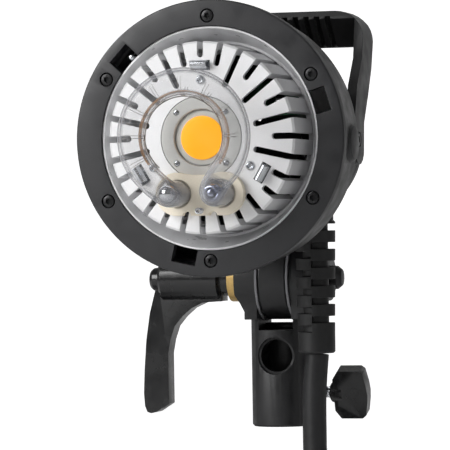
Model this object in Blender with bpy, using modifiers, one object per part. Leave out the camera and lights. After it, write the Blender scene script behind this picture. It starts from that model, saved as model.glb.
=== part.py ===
"""Studio flash head on a tilting stand bracket, with its power lead wound up behind it.

Metres, +Z up. The origin is the centre of the stand socket's mouth, at the bottom of the
bracket. The light points along -Y, and +X is on the right of someone facing it.

Pieces of the head are drawn in the light's own coordinates: x to the viewer's right, y up
and z forward out of the bayonet ring, with zero at the centre of the ring's front face.
"""

from math import acos, asin, atan2, cos, degrees, hypot, pi, radians, sin, sqrt

import bmesh
import bpy

# Clearances
GAP = 0.0003  # between pieces that touch
RUNNING_GAP = 0.0004  # beside a piece that turns or slides

# Where the axes lie
RING_FACE_Y = -0.131  # ring's front face, ahead of the stand's axis
LIGHT_AXIS_Z = 0.144
TILT_AXIS_Z = 0.0752

# Bayonet ring
RING_RADIUS = 0.066
RING_OPENING = 0.0533
RING_THICK = 0.0055
RING_CHAMFER = 0.001
NOTCH_RADIUS = 0.061
NOTCH_WIDTH = 0.012
NOTCH_FIRST_DEG = 17
NOTCHES = 3
RING_SCREWS = 6
RING_SCREW_CIRCLE = 0.0582
RING_SCREW_FIRST_DEG = 30

# Front housing
FRONT_RADIUS = 0.0625
FRONT_WALL = 0.0025
FRONT_LENGTH = 0.0292  # straight part, behind the collar
COLLAR_RADIUS = 0.0638
COLLAR_LENGTH = 0.006
LUG_ROOM = 0.0002  # beyond the notches, behind the ring
SHOULDER_LENGTH = 0.0155
BOSS_RADIUS = 0.0034
BOSS_LENGTH = 0.0122
SIDE_PAD_RADIUS = 0.0095
SIDE_PAD_PROUD = 0.0016
SIDE_PAD_DROP = 0.003

# Heat-sink drum in the middle of the ring
DRUM_RADIUS = 0.0455
DRUM_AHEAD = 0.0128  # its face, in front of the ring's
DRUM_FACE_THICK = 0.003
DRUM_WALL = 0.0035
DRUM_LENGTH = 0.0528
DRUM_CHAMFER = 0.001
DRUM_FLANGE_RADIUS = 0.056
DRUM_FLANGE_THICK = 0.003
FIN_SLOTS = 28
FIN_SLOT_WIDTH = 0.003
FIN_SLOT_SIDE = 0.0405  # how far the slots run down the drum's side
SLOT_LONG_END = 0.026
SLOT_SHORT_END = 0.0343
SLOT_CLIP_END = 0.0378  # where a dome clip is in the way

# Modelling lamp in the middle of the drum
LED_RADIUS = 0.01035
LED_BOARD_RADIUS = 0.0129
LED_BOARD_THICK = 0.001
LED_DOME = 0.0006
CARRIER_RADIUS = 0.0196
CARRIER_OPENING = 0.0134
CARRIER_BEVEL = 0.0008
CARRIER_THICK = 0.0025
CARRIER_SCREW_CIRCLE = 0.017
CARRIER_SCREWS = 4
CORE_RADIUS = 0.025
CORE_FLANGE_THICK = 0.006
CORE_STEM_RADIUS = 0.011
CORE_STEM_LENGTH = 0.026

# Dome clips
CLIPS = 3
CLIP_FIRST_DEG = 90
CLIP_RIVET_CIRCLE = 0.0273
CLIP_RIVET_RADIUS = 0.0022
CLIP_WIDTH = 0.0078
CLIP_METAL = 0.0005
CLIP_RISE = 0.0052
WINDOW_INNER = 0.0317
WINDOW_OUTER = 0.0365
WINDOW_WIDTH = 0.0095

# Reflector cone between drum and ring
CONE_WALL = 0.0008
CONE_LENGTH = 0.0208
CONE_REAR_RADIUS = 0.0478

# Flash tube and its ceramic base
TUBE_RADIUS = 0.0064
TUBE_WALL = 0.0012
TUBE_CIRCLE = 0.0256
TUBE_AHEAD = 0.0423
TUBE_LEG_X = 0.0108
TUBE_LEG_Y = -0.0264
TUBE_FOOT = 0.0142  # the legs' ends, in front of the ring's face
ELECTRODE_RADIUS = 0.0028
BALL_CLEARANCE = 0.0009  # electrode to the tube's bore
BASE_THICK = 0.0042
BASE_LOBE_RADIUS = 0.0102
BASE_LOBE_X = 0.0113
BASE_LOBE_Y = -0.0265
BASE_NOTCH_RADIUS = 0.002
BASE_NOTCH_X = 0.0064
BASE_SADDLE_X = 0.004
WIRE_RADIUS = 0.0003

# Rear housing, its cover and the fan inside it
REAR_RADIUS = 0.047
REAR_WALL = 0.0025
REAR_LENGTH = 0.0902
TAIL_RADIUS = 0.0385  # narrower rear part
TAIL_BACK = 0.115  # behind the ring's face
TAIL_TAPER = 0.0045
SPIGOT_LENGTH = 0.006
COVER_DEPTH = 0.009
COVER_EDGE = 0.004
FAN_SIDE = 0.049
FAN_DEPTH = 0.015
FAN_BORE = 0.0232
FAN_HUB = 0.0115
FAN_BLADES = 7
FAN_BLADE_WIDTH = 0.012
FAN_BLADE_PITCH_DEG = 38
VENT_WIDTH = 0.0032
VENT_HEIGHT = 0.024
VENTS_BACK = 0.029  # behind the handle's screws
VENTS = 4

# Electronics
BOARD_Y = 0.012
BOARD_WIDTH = 0.068
BOARD_THICK = 0.0016
BOARD_LENGTH = 0.047
BOARD_BACK = 0.062  # behind the ring's face
CAPACITOR_RADIUS = 0.0075
CAPACITOR_HEIGHT = 0.0165
CAPACITOR_PITCH = 0.020
CAPACITOR_BACK = 0.097
TRIGGER_COIL_RADIUS = 0.009
TRIGGER_COIL_BORE = 0.003
TRIGGER_COIL_LENGTH = 0.022

# Carrying handle
HANDLE_OUTER_X = 0.052
HANDLE_TOP = 0.065
HANDLE_CORNER = 0.015
HANDLE_SCREW_BACK = 0.090
HANDLE_SCREW_Y = 0.0

# Release catch of the bayonet
CATCH_DEG = 134
PIN_RADIUS = 0.0015
PIN_CIRCLE = 0.0549
PIN_TIP = -0.001
PIN_LENGTH = 0.0265
SLIDER_WIDTH = 0.006
SLIDER_START = 0.018  # behind the ring's face
SLIDER_LENGTH = 0.009
SLIDER_PROUD = 0.0028
CATCH_TRAVEL = 0.008

# Tilt joint
KNUCKLE_RADIUS = 0.021
KNUCKLE_HALF_WIDTH = 0.0072
KNUCKLE_SCREW_SPREAD = 0.0115
DISC_THICK = 0.0012
DISC_RADIUS = 0.0217
BOLT_RADIUS = 0.004
EAR_THICK = 0.011
EAR_RADIUS = 0.020
STEEL_WASHER_THICK = 0.0058
WASHER_RADIUS = 0.0118
BOLT_HEAD_RADIUS = 0.0063
BOLT_HEAD_LENGTH = 0.0062

# Clamp lever
HUB_NECK_LENGTH = 0.0045
HUB_NECK_RADIUS = 0.0088
HUB_RADIUS = 0.0117
HUB_LENGTH = 0.0323
LEVER_DEPTH = 0.0105
CAP_RADIUS = 0.0063
CAP_LENGTH = 0.006

# Stem with its stand socket
STEM_RADIUS = 0.01575
STEM_CHAMFER = 0.001
SOCKET_RADIUS = 0.0081
SOCKET_DEPTH = 0.045
CROSS_HOLE_Z = 0.036
CROSS_HOLE_RADIUS = 0.00825
CROSS_MOUTH_RADIUS = 0.0095
CROSS_MOUTH_DEPTH = 0.004
SHOULDER_Z = 0.0585
EAR_ROOT_Z = 0.0545
FORK_FLOOR = 0.004  # above the end of the socket
EAR_FOOT_Z = 0.067

# Spigot clamp
CLAMP_Z = 0.017
CLAMP_SCREW_RADIUS = 0.003
CLAMP_TIP_X = 0.0088
CLAMP_PAD_RADIUS = 0.0026
CLAMP_PAD_LENGTH = 0.0016
KNOB_START_X = 0.0255
KNOB_COLLAR_RADIUS = 0.0052
KNOB_COLLAR_LENGTH = 0.003
WING_LENGTH = 0.0175
WING_HALF_HEIGHT = 0.0129
WING_THICK = 0.0085
WING_TWIST_DEG = 20

# Strain relief and power lead
LEAD_X = 0.026
LEAD_BACK = 0.100  # behind the ring's face
LEAD_RADIUS = 0.006
NUT_RADIUS = 0.0082
NUT_TOP = -0.0240
NUT_HEIGHT = 0.004
RELIEF_TOP_RADIUS = 0.00925
RELIEF_FOOT_RADIUS = 0.0086
RELIEF_FOOT = -0.106
RELIEF_COLLAR = 0.010
RELIEF_PLAIN = 0.0075  # unslotted top, in the housing's wall
RELIEF_PITCH = 0.0092
RELIEF_SLOT = 0.0033
RELIEF_CORE = 0.0068
GROUND_Z = -0.087  # the surface that the wound lead lies on
BEND_RADIUS = 0.060
COIL_INNER_TURN = 0.066
COIL_Y = 0.100
PLUG_RADIUS = 0.016
PLUG_LENGTH = 0.050
LOCK_RING_RADIUS = 0.018
LOCK_RING_LENGTH = 0.020
BOOT_LENGTH = 0.026
LEAD_TAIL_LENGTH = 0.062

# Worked out from the values above
FRONT_START = -RING_THICK - GAP
FRONT_END = FRONT_START - COLLAR_LENGTH - FRONT_LENGTH
SHOULDER_END = FRONT_END - SHOULDER_LENGTH
REAR_START = SHOULDER_END - GAP
REAR_END = REAR_START - REAR_LENGTH
DRUM_BACK = DRUM_AHEAD - DRUM_LENGTH
FACE_BACK = DRUM_AHEAD - DRUM_FACE_THICK
CORE_FRONT = FACE_BACK - GAP
BOARD_FRONT = CORE_FRONT + GAP + LED_BOARD_THICK
ELECTRODE_BALL = TUBE_RADIUS - TUBE_WALL - BALL_CLEARANCE
REAR_INNER = REAR_RADIUS - REAR_WALL
TAIL_INNER = TAIL_RADIUS - REAR_WALL
HANDLE_INNER_X = REAR_RADIUS + GAP
EAR_INNER_X = KNUCKLE_HALF_WIDTH + DISC_THICK + 2 * GAP
EAR_OUTER_X = EAR_INNER_X + EAR_THICK
WASHER_OUTER_X = EAR_OUTER_X + GAP + STEEL_WASHER_THICK
LEAD_Y = RING_FACE_Y + LEAD_BACK
LEAD_TOP_Z = LIGHT_AXIS_Z + RELIEF_FOOT - GAP
COIL_OUTER_TURN = COIL_INNER_TURN + 2 * LEAD_RADIUS
COIL_X = LEAD_X - COIL_OUTER_TURN


# --- Making and placing ----------------------------------------------------------------


def paint(name, colour, roughness, metallic=0.0):
    material = bpy.data.materials.new(name)
    material.use_nodes = True
    shader = material.node_tree.nodes["Principled BSDF"]
    shader.inputs["Base Color"].default_value = (*colour, 1.0)
    shader.inputs["Roughness"].default_value = roughness
    shader.inputs["Metallic"].default_value = metallic
    material.diffuse_color = (*colour, 1.0)
    return material


def empty(name, location, rotation=(0, 0, 0), parent=None):
    obj = bpy.data.objects.new(name, None)
    obj.location = location
    obj.rotation_euler = rotation
    obj.parent = parent
    MODEL.objects.link(obj)
    return obj


def add(name, data, parent, material=None):
    """Puts mesh or curve data in the scene. Without a material it is a cutter."""
    obj = bpy.data.objects.new(name, data)
    obj.parent = parent
    if material is None:
        CUTTERS.objects.link(obj)
        obj.hide_render = True
        obj.display_type = "WIRE"
    else:
        MODEL.objects.link(obj)
        data.materials.append(material)
    return obj


def turned(name, profile, parent, material=None, steps=48):
    """A turned piece about z. The profile holds (radius, z) and runs down its outer side."""
    ends_on_axis = profile[0][0] == 0 and profile[-1][0] == 0
    count = len(profile)
    edges = [(i, (i + 1) % count) for i in range(count - ends_on_axis)]
    mesh = bpy.data.meshes.new(name)
    mesh.from_pydata([(radius, 0, z) for radius, z in profile], edges, [])
    obj = add(name, mesh, parent, material)
    screw = obj.modifiers.new("turn", "SCREW")
    screw.steps = screw.render_steps = steps
    screw.use_merge_vertices = True
    screw.merge_threshold = 1e-6
    return obj


def rod(name, radius, low, high, parent, material=None, steps=24):
    return turned(name, [(0, high), (radius, high), (radius, low), (0, low)], parent, material, steps)


def baked(obj):
    """Replaces an object's mesh with the shape that its modifiers give."""
    graph = bpy.context.evaluated_depsgraph_get()
    mesh = bpy.data.meshes.new_from_object(obj.evaluated_get(graph))
    obj.modifiers.clear()
    obj.data = mesh
    return obj


def slab(name, outlines, low, high, parent, material=None):
    """Flat outlines in x and y, filled and raised from low to high. Outlines inside others are holes."""
    curve = bpy.data.curves.new(name, "CURVE")
    curve.dimensions = "2D"
    curve.fill_mode = "BOTH"
    curve.extrude = (high - low) / 2
    for outline in outlines:
        spline = curve.splines.new("POLY")
        spline.points.add(len(outline) - 1)
        for point, (x, y) in zip(spline.points, outline):
            point.co = (x, y, 0, 1)
        spline.use_cyclic_u = True
    guide = bpy.data.objects.new(name + "_outline", curve)
    MODEL.objects.link(guide)
    graph = bpy.context.evaluated_depsgraph_get()
    mesh = bpy.data.meshes.new_from_object(guide.evaluated_get(graph))
    bpy.data.objects.remove(guide)
    bm = bmesh.new()
    bm.from_mesh(mesh)
    bmesh.ops.remove_doubles(bm, verts=bm.verts, dist=1e-6)
    bmesh.ops.translate(bm, verts=bm.verts, vec=(0, 0, (low + high) / 2))
    bmesh.ops.dissolve_limit(bm, angle_limit=0.01, verts=bm.verts, edges=bm.edges)
    bmesh.ops.recalc_face_normals(bm, faces=bm.faces)
    bm.to_mesh(mesh)
    bm.free()
    mesh.materials.clear()
    return add(name, mesh, parent, material)


def block(name, low, high, parent, material=None):
    bm = bmesh.new()
    bmesh.ops.create_cube(bm, size=1)
    for axis in range(3):
        for vert in bm.verts:
            vert.co[axis] = low[axis] if vert.co[axis] < 0 else high[axis]
    mesh = bpy.data.meshes.new(name)
    bm.to_mesh(mesh)
    bm.free()
    return add(name, mesh, parent, material)


def tube(name, points, radius, parent, material, sides_level=2):
    """A round wire or hose along its points, closed at both ends."""
    curve = bpy.data.curves.new(name, "CURVE")
    curve.dimensions = "3D"
    curve.bevel_depth = radius
    curve.bevel_resolution = sides_level
    curve.use_fill_caps = True
    spline = curve.splines.new("POLY")
    spline.points.add(len(points) - 1)
    for point, place in zip(spline.points, points):
        point.co = (*place, 1)
    return add(name, curve, parent, material)


def boolean(obj, operation, others):
    for other in others:
        modifier = obj.modifiers.new(other.name, "BOOLEAN")
        modifier.operation = operation
        modifier.object = other
    return obj


def cut(obj, *others):
    return boolean(obj, "DIFFERENCE", others)


def join(obj, *others):
    return boolean(obj, "UNION", others)


def keep_common(obj, *others):
    return boolean(obj, "INTERSECT", others)


def arc(x, y, radius, start_deg, end_deg, count=8):
    angles = [radians(start_deg + (end_deg - start_deg) * i / count) for i in range(count + 1)]
    return [(x + radius * cos(a), y + radius * sin(a)) for a in angles]


def circle(x, y, radius, count=16):
    return arc(x, y, radius, 0, 360, count)[:-1]


def spun(points, angle_deg):
    """The same points, turned about the origin."""
    c, s = cos(radians(angle_deg)), sin(radians(angle_deg))
    return [(x * c - y * s, x * s + y * c) for x, y in points]


def sideways(obj):
    """Turns an outline of (back, up) with its thickness along z so that the thickness lies along x."""
    obj.rotation_euler = (0, pi / 2, 0)
    return obj


def around(count, first_deg=0.0):
    return [first_deg + 360 * i / count for i in range(count)]


def polar(radius, angle_deg):
    return radius * cos(radians(angle_deg)), radius * sin(radians(angle_deg))


def rectangle(x_low, x_high, y_low, y_high):
    return [(x_low, y_low), (x_high, y_low), (x_high, y_high), (x_low, y_high)]


def cap_screw(name, head_radius, head_height, shank_radius, length):
    """A socket-head screw pointing along -z, with the top of its head at zero."""
    socket_radius, socket_depth = head_radius * 0.5, head_height * 0.6
    profile = [
        (0, -socket_depth),
        (socket_radius, -socket_depth),
        (socket_radius, 0),
        (head_radius, 0),
        (head_radius, -head_height),
        (shank_radius, -head_height),
        (shank_radius, -length),
        (0, -length),
    ]
    return baked(turned(name, profile, None, SCREW_BLACK, steps=8)).data


def place(name, mesh, parent, location, rotation=(0, 0, 0)):
    """One more object that shares a mesh already made."""
    obj = bpy.data.objects.new(name, mesh)
    obj.location = location
    obj.rotation_euler = rotation
    obj.parent = parent
    MODEL.objects.link(obj)
    return obj


def remove_pattern(mesh):
    """Drops the object that a shared mesh was first made on."""
    for obj in list(MODEL.objects):
        if obj.data is mesh:
            bpy.data.objects.remove(obj)
    return mesh


# --- Scene, materials and axes ------------------------------------------------------------

for old in list(bpy.data.objects):
    bpy.data.objects.remove(old)

MODEL = bpy.data.collections.new("studio_flash_head")
CUTTERS = bpy.data.collections.new("cutters")
for collection in (MODEL, CUTTERS):
    bpy.context.scene.collection.children.link(collection)

BLACK_CASE = paint("black_case", (0.045, 0.045, 0.048), 0.45)
BLACK_RING = paint("black_ring", (0.050, 0.050, 0.054), 0.42, 0.3)
BLACK_HANDLE = paint("black_handle", (0.042, 0.042, 0.046), 0.55)
BLACK_CAST = paint("black_cast", (0.022, 0.022, 0.026), 0.40, 0.3)
BLACK_LEVER = paint("black_lever", (0.012, 0.012, 0.013), 0.30)
BLACK_RUBBER = paint("black_rubber", (0.020, 0.020, 0.022), 0.60)
SCREW_BLACK = paint("screw_black", (0.010, 0.010, 0.010), 0.35, 0.8)
ALUMINIUM = paint("bead_blasted_aluminium", (0.82, 0.82, 0.84), 0.38, 0.9)
REFLECTOR = paint("satin_reflector", (0.70, 0.70, 0.72), 0.25, 1.0)
STEEL = paint("bright_steel", (0.62, 0.64, 0.68), 0.25, 1.0)
BRASS = paint("brass", (0.62, 0.45, 0.22), 0.35, 1.0)
CERAMIC = paint("cream_ceramic", (0.84, 0.77, 0.66), 0.50)
GLASS = paint("clear_glass", (0.95, 0.97, 1.0), 0.03)
PHOSPHOR = paint("amber_phosphor", (1.0, 0.47, 0.02), 0.45)
LED_WHITE = paint("led_board_white", (0.78, 0.80, 0.78), 0.40)
BOARD_GREEN = paint("circuit_board", (0.03, 0.18, 0.08), 0.55)
COPPER = paint("coil_lacquer", (0.35, 0.12, 0.04), 0.40)
NYLON = paint("grey_friction_disc", (0.30, 0.30, 0.31), 0.60)

stand = empty("stand_socket", (0, 0, 0))
tilt = empty("head_tilt_axis", (0, 0, TILT_AXIS_Z))
light = empty("light_axis", (0, RING_FACE_Y, LIGHT_AXIS_Z - TILT_AXIS_Z), (pi / 2, 0, 0), tilt)
bolt_line = empty("bolt_line", (0, 0, TILT_AXIS_Z), (0, pi / 2, 0))
lever_axis = empty("lever_axis", (0, 0, TILT_AXIS_Z), (0, -pi / 2, 0))
clamp_axis = empty("clamp_axis", (0, 0, CLAMP_Z), (0, pi / 2, 0))

# --- Bayonet ring and its screws ------------------------------------------------------------

SCREW_HEAD, SCREW_HEAD_HEIGHT, SCREW_SHANK, SCREW_LENGTH = 0.0028, 0.0024, 0.0016, 0.0125
SCREW_SINK = 0.0004
shank_hole = SCREW_SHANK + GAP
screw_angles = around(RING_SCREWS, RING_SCREW_FIRST_DEG)
screw_places = [polar(RING_SCREW_CIRCLE, angle) for angle in screw_angles]

ring = turned(
    "bayonet_ring",
    [
        (RING_RADIUS - RING_CHAMFER, 0),
        (RING_RADIUS, -RING_CHAMFER),
        (RING_RADIUS, -RING_THICK),
        (RING_OPENING, -RING_THICK),
        (RING_OPENING, 0),
    ],
    light,
    BLACK_RING,
    steps=48,
)
notch = rectangle(RING_OPENING - 0.004, NOTCH_RADIUS, -NOTCH_WIDTH / 2, NOTCH_WIDTH / 2)
notches = [spun(notch, angle) for angle in around(NOTCHES, NOTCH_FIRST_DEG)]
shank_holes = [circle(x, y, shank_hole, 9) for x, y in screw_places]
counterbores = [circle(x, y, SCREW_HEAD + 2 * GAP, 13) for x, y in screw_places]
cut(
    ring,
    slab("ring_openings", notches + shank_holes, -RING_THICK - 0.001, 0.001, light),
    slab("ring_counterbores", counterbores, -SCREW_SINK - SCREW_HEAD_HEIGHT - GAP, 0.001, light),
)
ring_screw = cap_screw("ring_screw", SCREW_HEAD, SCREW_HEAD_HEIGHT, SCREW_SHANK, SCREW_LENGTH)
remove_pattern(ring_screw)
for number, (x, y) in enumerate(screw_places, 1):
    place(f"ring_screw_{number}", ring_screw, light, (x, y, -SCREW_SINK))

# --- Front housing -----------------------------------------------------------------------------

collar_end = FRONT_START - COLLAR_LENGTH
front_inner = FRONT_RADIUS - FRONT_WALL
collar_inner = NOTCH_RADIUS + LUG_ROOM
spigot_radius = REAR_RADIUS - REAR_WALL / 2
seat_z = DRUM_BACK - GAP
seat_radius = DRUM_FLANGE_RADIUS - 0.002
front = turned(
    "front_housing",
    [
        (FRONT_RADIUS, FRONT_START),
        (FRONT_RADIUS, FRONT_START - 0.0012),
        (COLLAR_RADIUS, FRONT_START - 0.0019),
        (COLLAR_RADIUS, collar_end),
        (FRONT_RADIUS, collar_end - 0.0008),
        (FRONT_RADIUS, FRONT_END),
        (FRONT_RADIUS - 0.0035, FRONT_END - 0.0085),
        (REAR_RADIUS + 0.0035, SHOULDER_END),
        (spigot_radius + GAP, SHOULDER_END),
        (spigot_radius + GAP, REAR_START + SPIGOT_LENGTH + GAP),
        (seat_radius, seat_z - 0.003),
        (seat_radius, seat_z),
        (front_inner, seat_z),
        (front_inner, collar_end),
        (collar_inner, collar_end + 0.0012),
        (collar_inner, FRONT_START),
    ],
    light,
    BLACK_CASE,
    steps=36,
)
bosses = [circle(x, y, BOSS_RADIUS, 9) for x, y in screw_places]
boss_holes = [circle(x, y, shank_hole, 8) for x, y in screw_places]
hole_end = -SCREW_SINK - SCREW_LENGTH - GAP
slider_end = SLIDER_START + SLIDER_LENGTH
slider_slot = block(
    "slider_slot",
    (front_inner - 0.002, -SLIDER_WIDTH / 4 - RUNNING_GAP, -slider_end + 0.003 - CATCH_TRAVEL - 2 * GAP),
    (COLLAR_RADIUS + 0.002, SLIDER_WIDTH / 4 + RUNNING_GAP, -SLIDER_START - 0.003 + 2 * GAP),
    light,
)
slider_slot.rotation_euler.z = radians(CATCH_DEG)
pad_z = (collar_end + FRONT_END) / 2 - 0.006
side_pads = turned(
    "side_pad",
    [
        (0, FRONT_RADIUS + SIDE_PAD_PROUD),
        (SIDE_PAD_RADIUS - 0.002, FRONT_RADIUS + SIDE_PAD_PROUD),
        (SIDE_PAD_RADIUS, FRONT_RADIUS - 0.001),
        (SIDE_PAD_RADIUS, front_inner - 0.0002),
        (0, front_inner - 0.0002),
    ],
    light,
    steps=16,
)
side_pads.location = (0, -SIDE_PAD_DROP, pad_z)
side_pads.rotation_euler = (0, pi / 2, 0)
join(front, slab("screw_bosses", bosses, FRONT_START - BOSS_LENGTH, FRONT_START, light), side_pads)
cut(front, slab("boss_holes", boss_holes, hole_end, FRONT_START + 0.001, light), slider_slot)

# --- Release catch: a locking pin worked by a slider on the housing's side -----------------------

pin = rod("lock_pin", PIN_RADIUS, PIN_TIP - PIN_LENGTH, PIN_TIP, light, STEEL, steps=14)
pin.location = (*polar(PIN_CIRCLE, CATCH_DEG), 0)
slider = block(
    "release_slider",
    (FRONT_RADIUS + RUNNING_GAP, -SLIDER_WIDTH / 2, -slider_end),
    (FRONT_RADIUS + SLIDER_PROUD, SLIDER_WIDTH / 2, -SLIDER_START),
    light,
    BLACK_CASE,
)
slider_neck = block(
    "slider_neck",
    (front_inner - 0.002, -SLIDER_WIDTH / 4, -slider_end + 0.003),
    (FRONT_RADIUS + RUNNING_GAP + 0.001, SLIDER_WIDTH / 4, -SLIDER_START - 0.003),
    light,
)
slider_tongue = block(
    "slider_tongue",
    (PIN_CIRCLE - PIN_RADIUS - 0.0008, -SLIDER_WIDTH / 2, -slider_end + 0.001),
    (front_inner - RUNNING_GAP - 0.0006, SLIDER_WIDTH / 2, -SLIDER_START - 0.002),
    light,
)
pin_hole = rod("pin_hole", PIN_RADIUS + GAP, PIN_TIP - PIN_LENGTH - 0.004, 0, light, steps=14)
pin_hole.location = (*polar(PIN_CIRCLE, CATCH_DEG), 0)
for piece in (slider, slider_neck, slider_tongue):
    piece.rotation_euler.z = radians(CATCH_DEG)
join(slider, slider_neck, slider_tongue)
cut(slider, pin_hole)

# --- Reflector cone --------------------------------------------------------------------------------

cone_front = PIN_TIP - GAP
cone_back = cone_front - CONE_LENGTH
cone_front_radius = PIN_CIRCLE - PIN_RADIUS - GAP
turned(
    "reflector_cone",
    [
        (cone_front_radius, cone_front),
        (CONE_REAR_RADIUS, cone_back),
        (DRUM_RADIUS + GAP, cone_back),
        (DRUM_RADIUS + GAP, cone_back + CONE_WALL),
        (CONE_REAR_RADIUS - CONE_WALL, cone_back + CONE_WALL),
        (cone_front_radius - CONE_WALL, cone_front),
    ],
    light,
    REFLECTOR,
    steps=32,
)

# --- Heat-sink drum ----------------------------------------------------------------------------------

clip_angles = around(CLIPS, CLIP_FIRST_DEG)


def slot_inner_end(number):
    """Slots run deep and shallow by turns, and stop short beside a clip."""
    angle = 360 * number / FIN_SLOTS
    for clip_angle in clip_angles:
        if abs((angle - clip_angle + 180) % 360 - 180) < 360 / FIN_SLOTS * 0.8:
            return SLOT_CLIP_END
    return SLOT_LONG_END if number % 2 else SLOT_SHORT_END


def slot_outline(number):
    half = FIN_SLOT_WIDTH / 2
    inner = slot_inner_end(number) + half
    round_end = arc(inner, 0, half, 90, 270, 3)
    outer = [(DRUM_RADIUS + 0.004, -half), (DRUM_RADIUS + 0.004, half)]
    return spun(round_end + outer, 360 * number / FIN_SLOTS)


drum = turned(
    "heat_sink_drum",
    [
        (DRUM_RADIUS - DRUM_CHAMFER, DRUM_AHEAD),
        (DRUM_RADIUS, DRUM_AHEAD - DRUM_CHAMFER),
        (DRUM_RADIUS, DRUM_BACK + DRUM_FLANGE_THICK),
        (DRUM_FLANGE_RADIUS, DRUM_BACK + DRUM_FLANGE_THICK),
        (DRUM_FLANGE_RADIUS, DRUM_BACK),
        (DRUM_RADIUS - DRUM_WALL, DRUM_BACK),
        (DRUM_RADIUS - DRUM_WALL, FACE_BACK),
        (CARRIER_RADIUS + GAP, FACE_BACK),
        (CARRIER_RADIUS + GAP, DRUM_AHEAD),
    ],
    light,
    ALUMINIUM,
    steps=FIN_SLOTS * 2,
)
fin_slots = [slot_outline(number) for number in range(FIN_SLOTS)]
window = rectangle(WINDOW_INNER, WINDOW_OUTER, -WINDOW_WIDTH / 2, WINDOW_WIDTH / 2)
rivet_hole = circle(CLIP_RIVET_CIRCLE, 0, 0.0015, 12)
face_cuts = [spun(outline, angle) for angle in clip_angles for outline in (window, rivet_hole)]
cut(
    drum,
    slab("fin_slots", fin_slots, DRUM_AHEAD - FIN_SLOT_SIDE, DRUM_AHEAD + 0.002, light),
    slab("clip_windows", face_cuts, FACE_BACK - 0.001, DRUM_AHEAD + 0.001, light),
)

# --- Modelling lamp: spreader core, LED board, phosphor and carrier --------------------------------------

CARRIER_SCREW_SHANK = 0.0007
carrier_screw_places = [polar(CARRIER_SCREW_CIRCLE, a) for a in around(CARRIER_SCREWS, 45)]
core = turned(
    "spreader_core",
    [
        (0, CORE_FRONT),
        (CORE_RADIUS, CORE_FRONT),
        (CORE_RADIUS, CORE_FRONT - CORE_FLANGE_THICK),
        (CORE_STEM_RADIUS, CORE_FRONT - CORE_FLANGE_THICK),
        (CORE_STEM_RADIUS, CORE_FRONT - CORE_STEM_LENGTH),
        (0, CORE_FRONT - CORE_STEM_LENGTH),
    ],
    light,
    ALUMINIUM,
    steps=24,
)
core_holes = [circle(x, y, CARRIER_SCREW_SHANK + GAP, 8) for x, y in carrier_screw_places]
cut(core, slab("core_holes", core_holes, CORE_FRONT - 0.0042, CORE_FRONT + 0.001, light))
rod("led_board", LED_BOARD_RADIUS, CORE_FRONT + GAP, BOARD_FRONT, light, LED_WHITE, steps=22)
turned(
    "led_phosphor",
    [
        (0, BOARD_FRONT + GAP + LED_DOME),
        (LED_RADIUS - 0.0004, BOARD_FRONT + GAP + LED_DOME),
        (LED_RADIUS, BOARD_FRONT + GAP + LED_DOME / 2),
        (LED_RADIUS, BOARD_FRONT + GAP),
        (0, BOARD_FRONT + GAP),
    ],
    light,
    PHOSPHOR,
    steps=24,
)
carrier_back = DRUM_AHEAD - CARRIER_THICK
carrier = turned(
    "led_carrier",
    [
        (CARRIER_RADIUS, DRUM_AHEAD),
        (CARRIER_RADIUS, carrier_back),
        (CARRIER_OPENING, carrier_back),
        (CARRIER_OPENING, DRUM_AHEAD - CARRIER_BEVEL),
        (CARRIER_OPENING + CARRIER_BEVEL, DRUM_AHEAD),
    ],
    light,
    LED_WHITE,
    steps=20,
)
carrier_bores = [circle(x, y, 0.0012 + GAP, 10) for x, y in carrier_screw_places]
carrier_holes = [circle(x, y, CARRIER_SCREW_SHANK + GAP, 8) for x, y in carrier_screw_places]
cut(
    carrier,
    slab("carrier_bores", carrier_bores, DRUM_AHEAD - 0.0012, DRUM_AHEAD + 0.001, light),
    slab("carrier_holes", carrier_holes, carrier_back - 0.001, DRUM_AHEAD - 0.001, light),
)
carrier_screw = cap_screw("carrier_screw", 0.0012, 0.0008, CARRIER_SCREW_SHANK, 0.0062)
remove_pattern(carrier_screw)
for number, (x, y) in enumerate(carrier_screw_places, 1):
    place(f"carrier_screw_{number}", carrier_screw, light, (x, y, DRUM_AHEAD - 0.0001))

# --- Dome clips: spring leaves riveted behind the face, arching out through the windows --------------------

leaf_back = FACE_BACK - GAP - CLIP_METAL
leaf_front = FACE_BACK - GAP
arch_top = DRUM_AHEAD + CLIP_RISE
leaf_inner = CORE_RADIUS + GAP
leaf_path = [
    (leaf_inner, leaf_back),
    (WINDOW_OUTER - GAP, leaf_back),
    (WINDOW_OUTER - GAP, arch_top - 0.0016),
    (WINDOW_OUTER - 0.0016, arch_top),
    (WINDOW_OUTER - 0.0032, arch_top - 0.0010),
    (WINDOW_INNER + 0.0008, DRUM_AHEAD + 0.0014),
    (WINDOW_INNER + 0.0012, DRUM_AHEAD + 0.0010),
    (WINDOW_OUTER - 0.0029, arch_top - 0.0018),
    (WINDOW_OUTER - 0.0017, arch_top - CLIP_METAL - 0.0002),
    (WINDOW_OUTER - GAP - CLIP_METAL, arch_top - 0.0019),
    (WINDOW_OUTER - GAP - CLIP_METAL, leaf_front),
    (leaf_inner, leaf_front),
]
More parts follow.
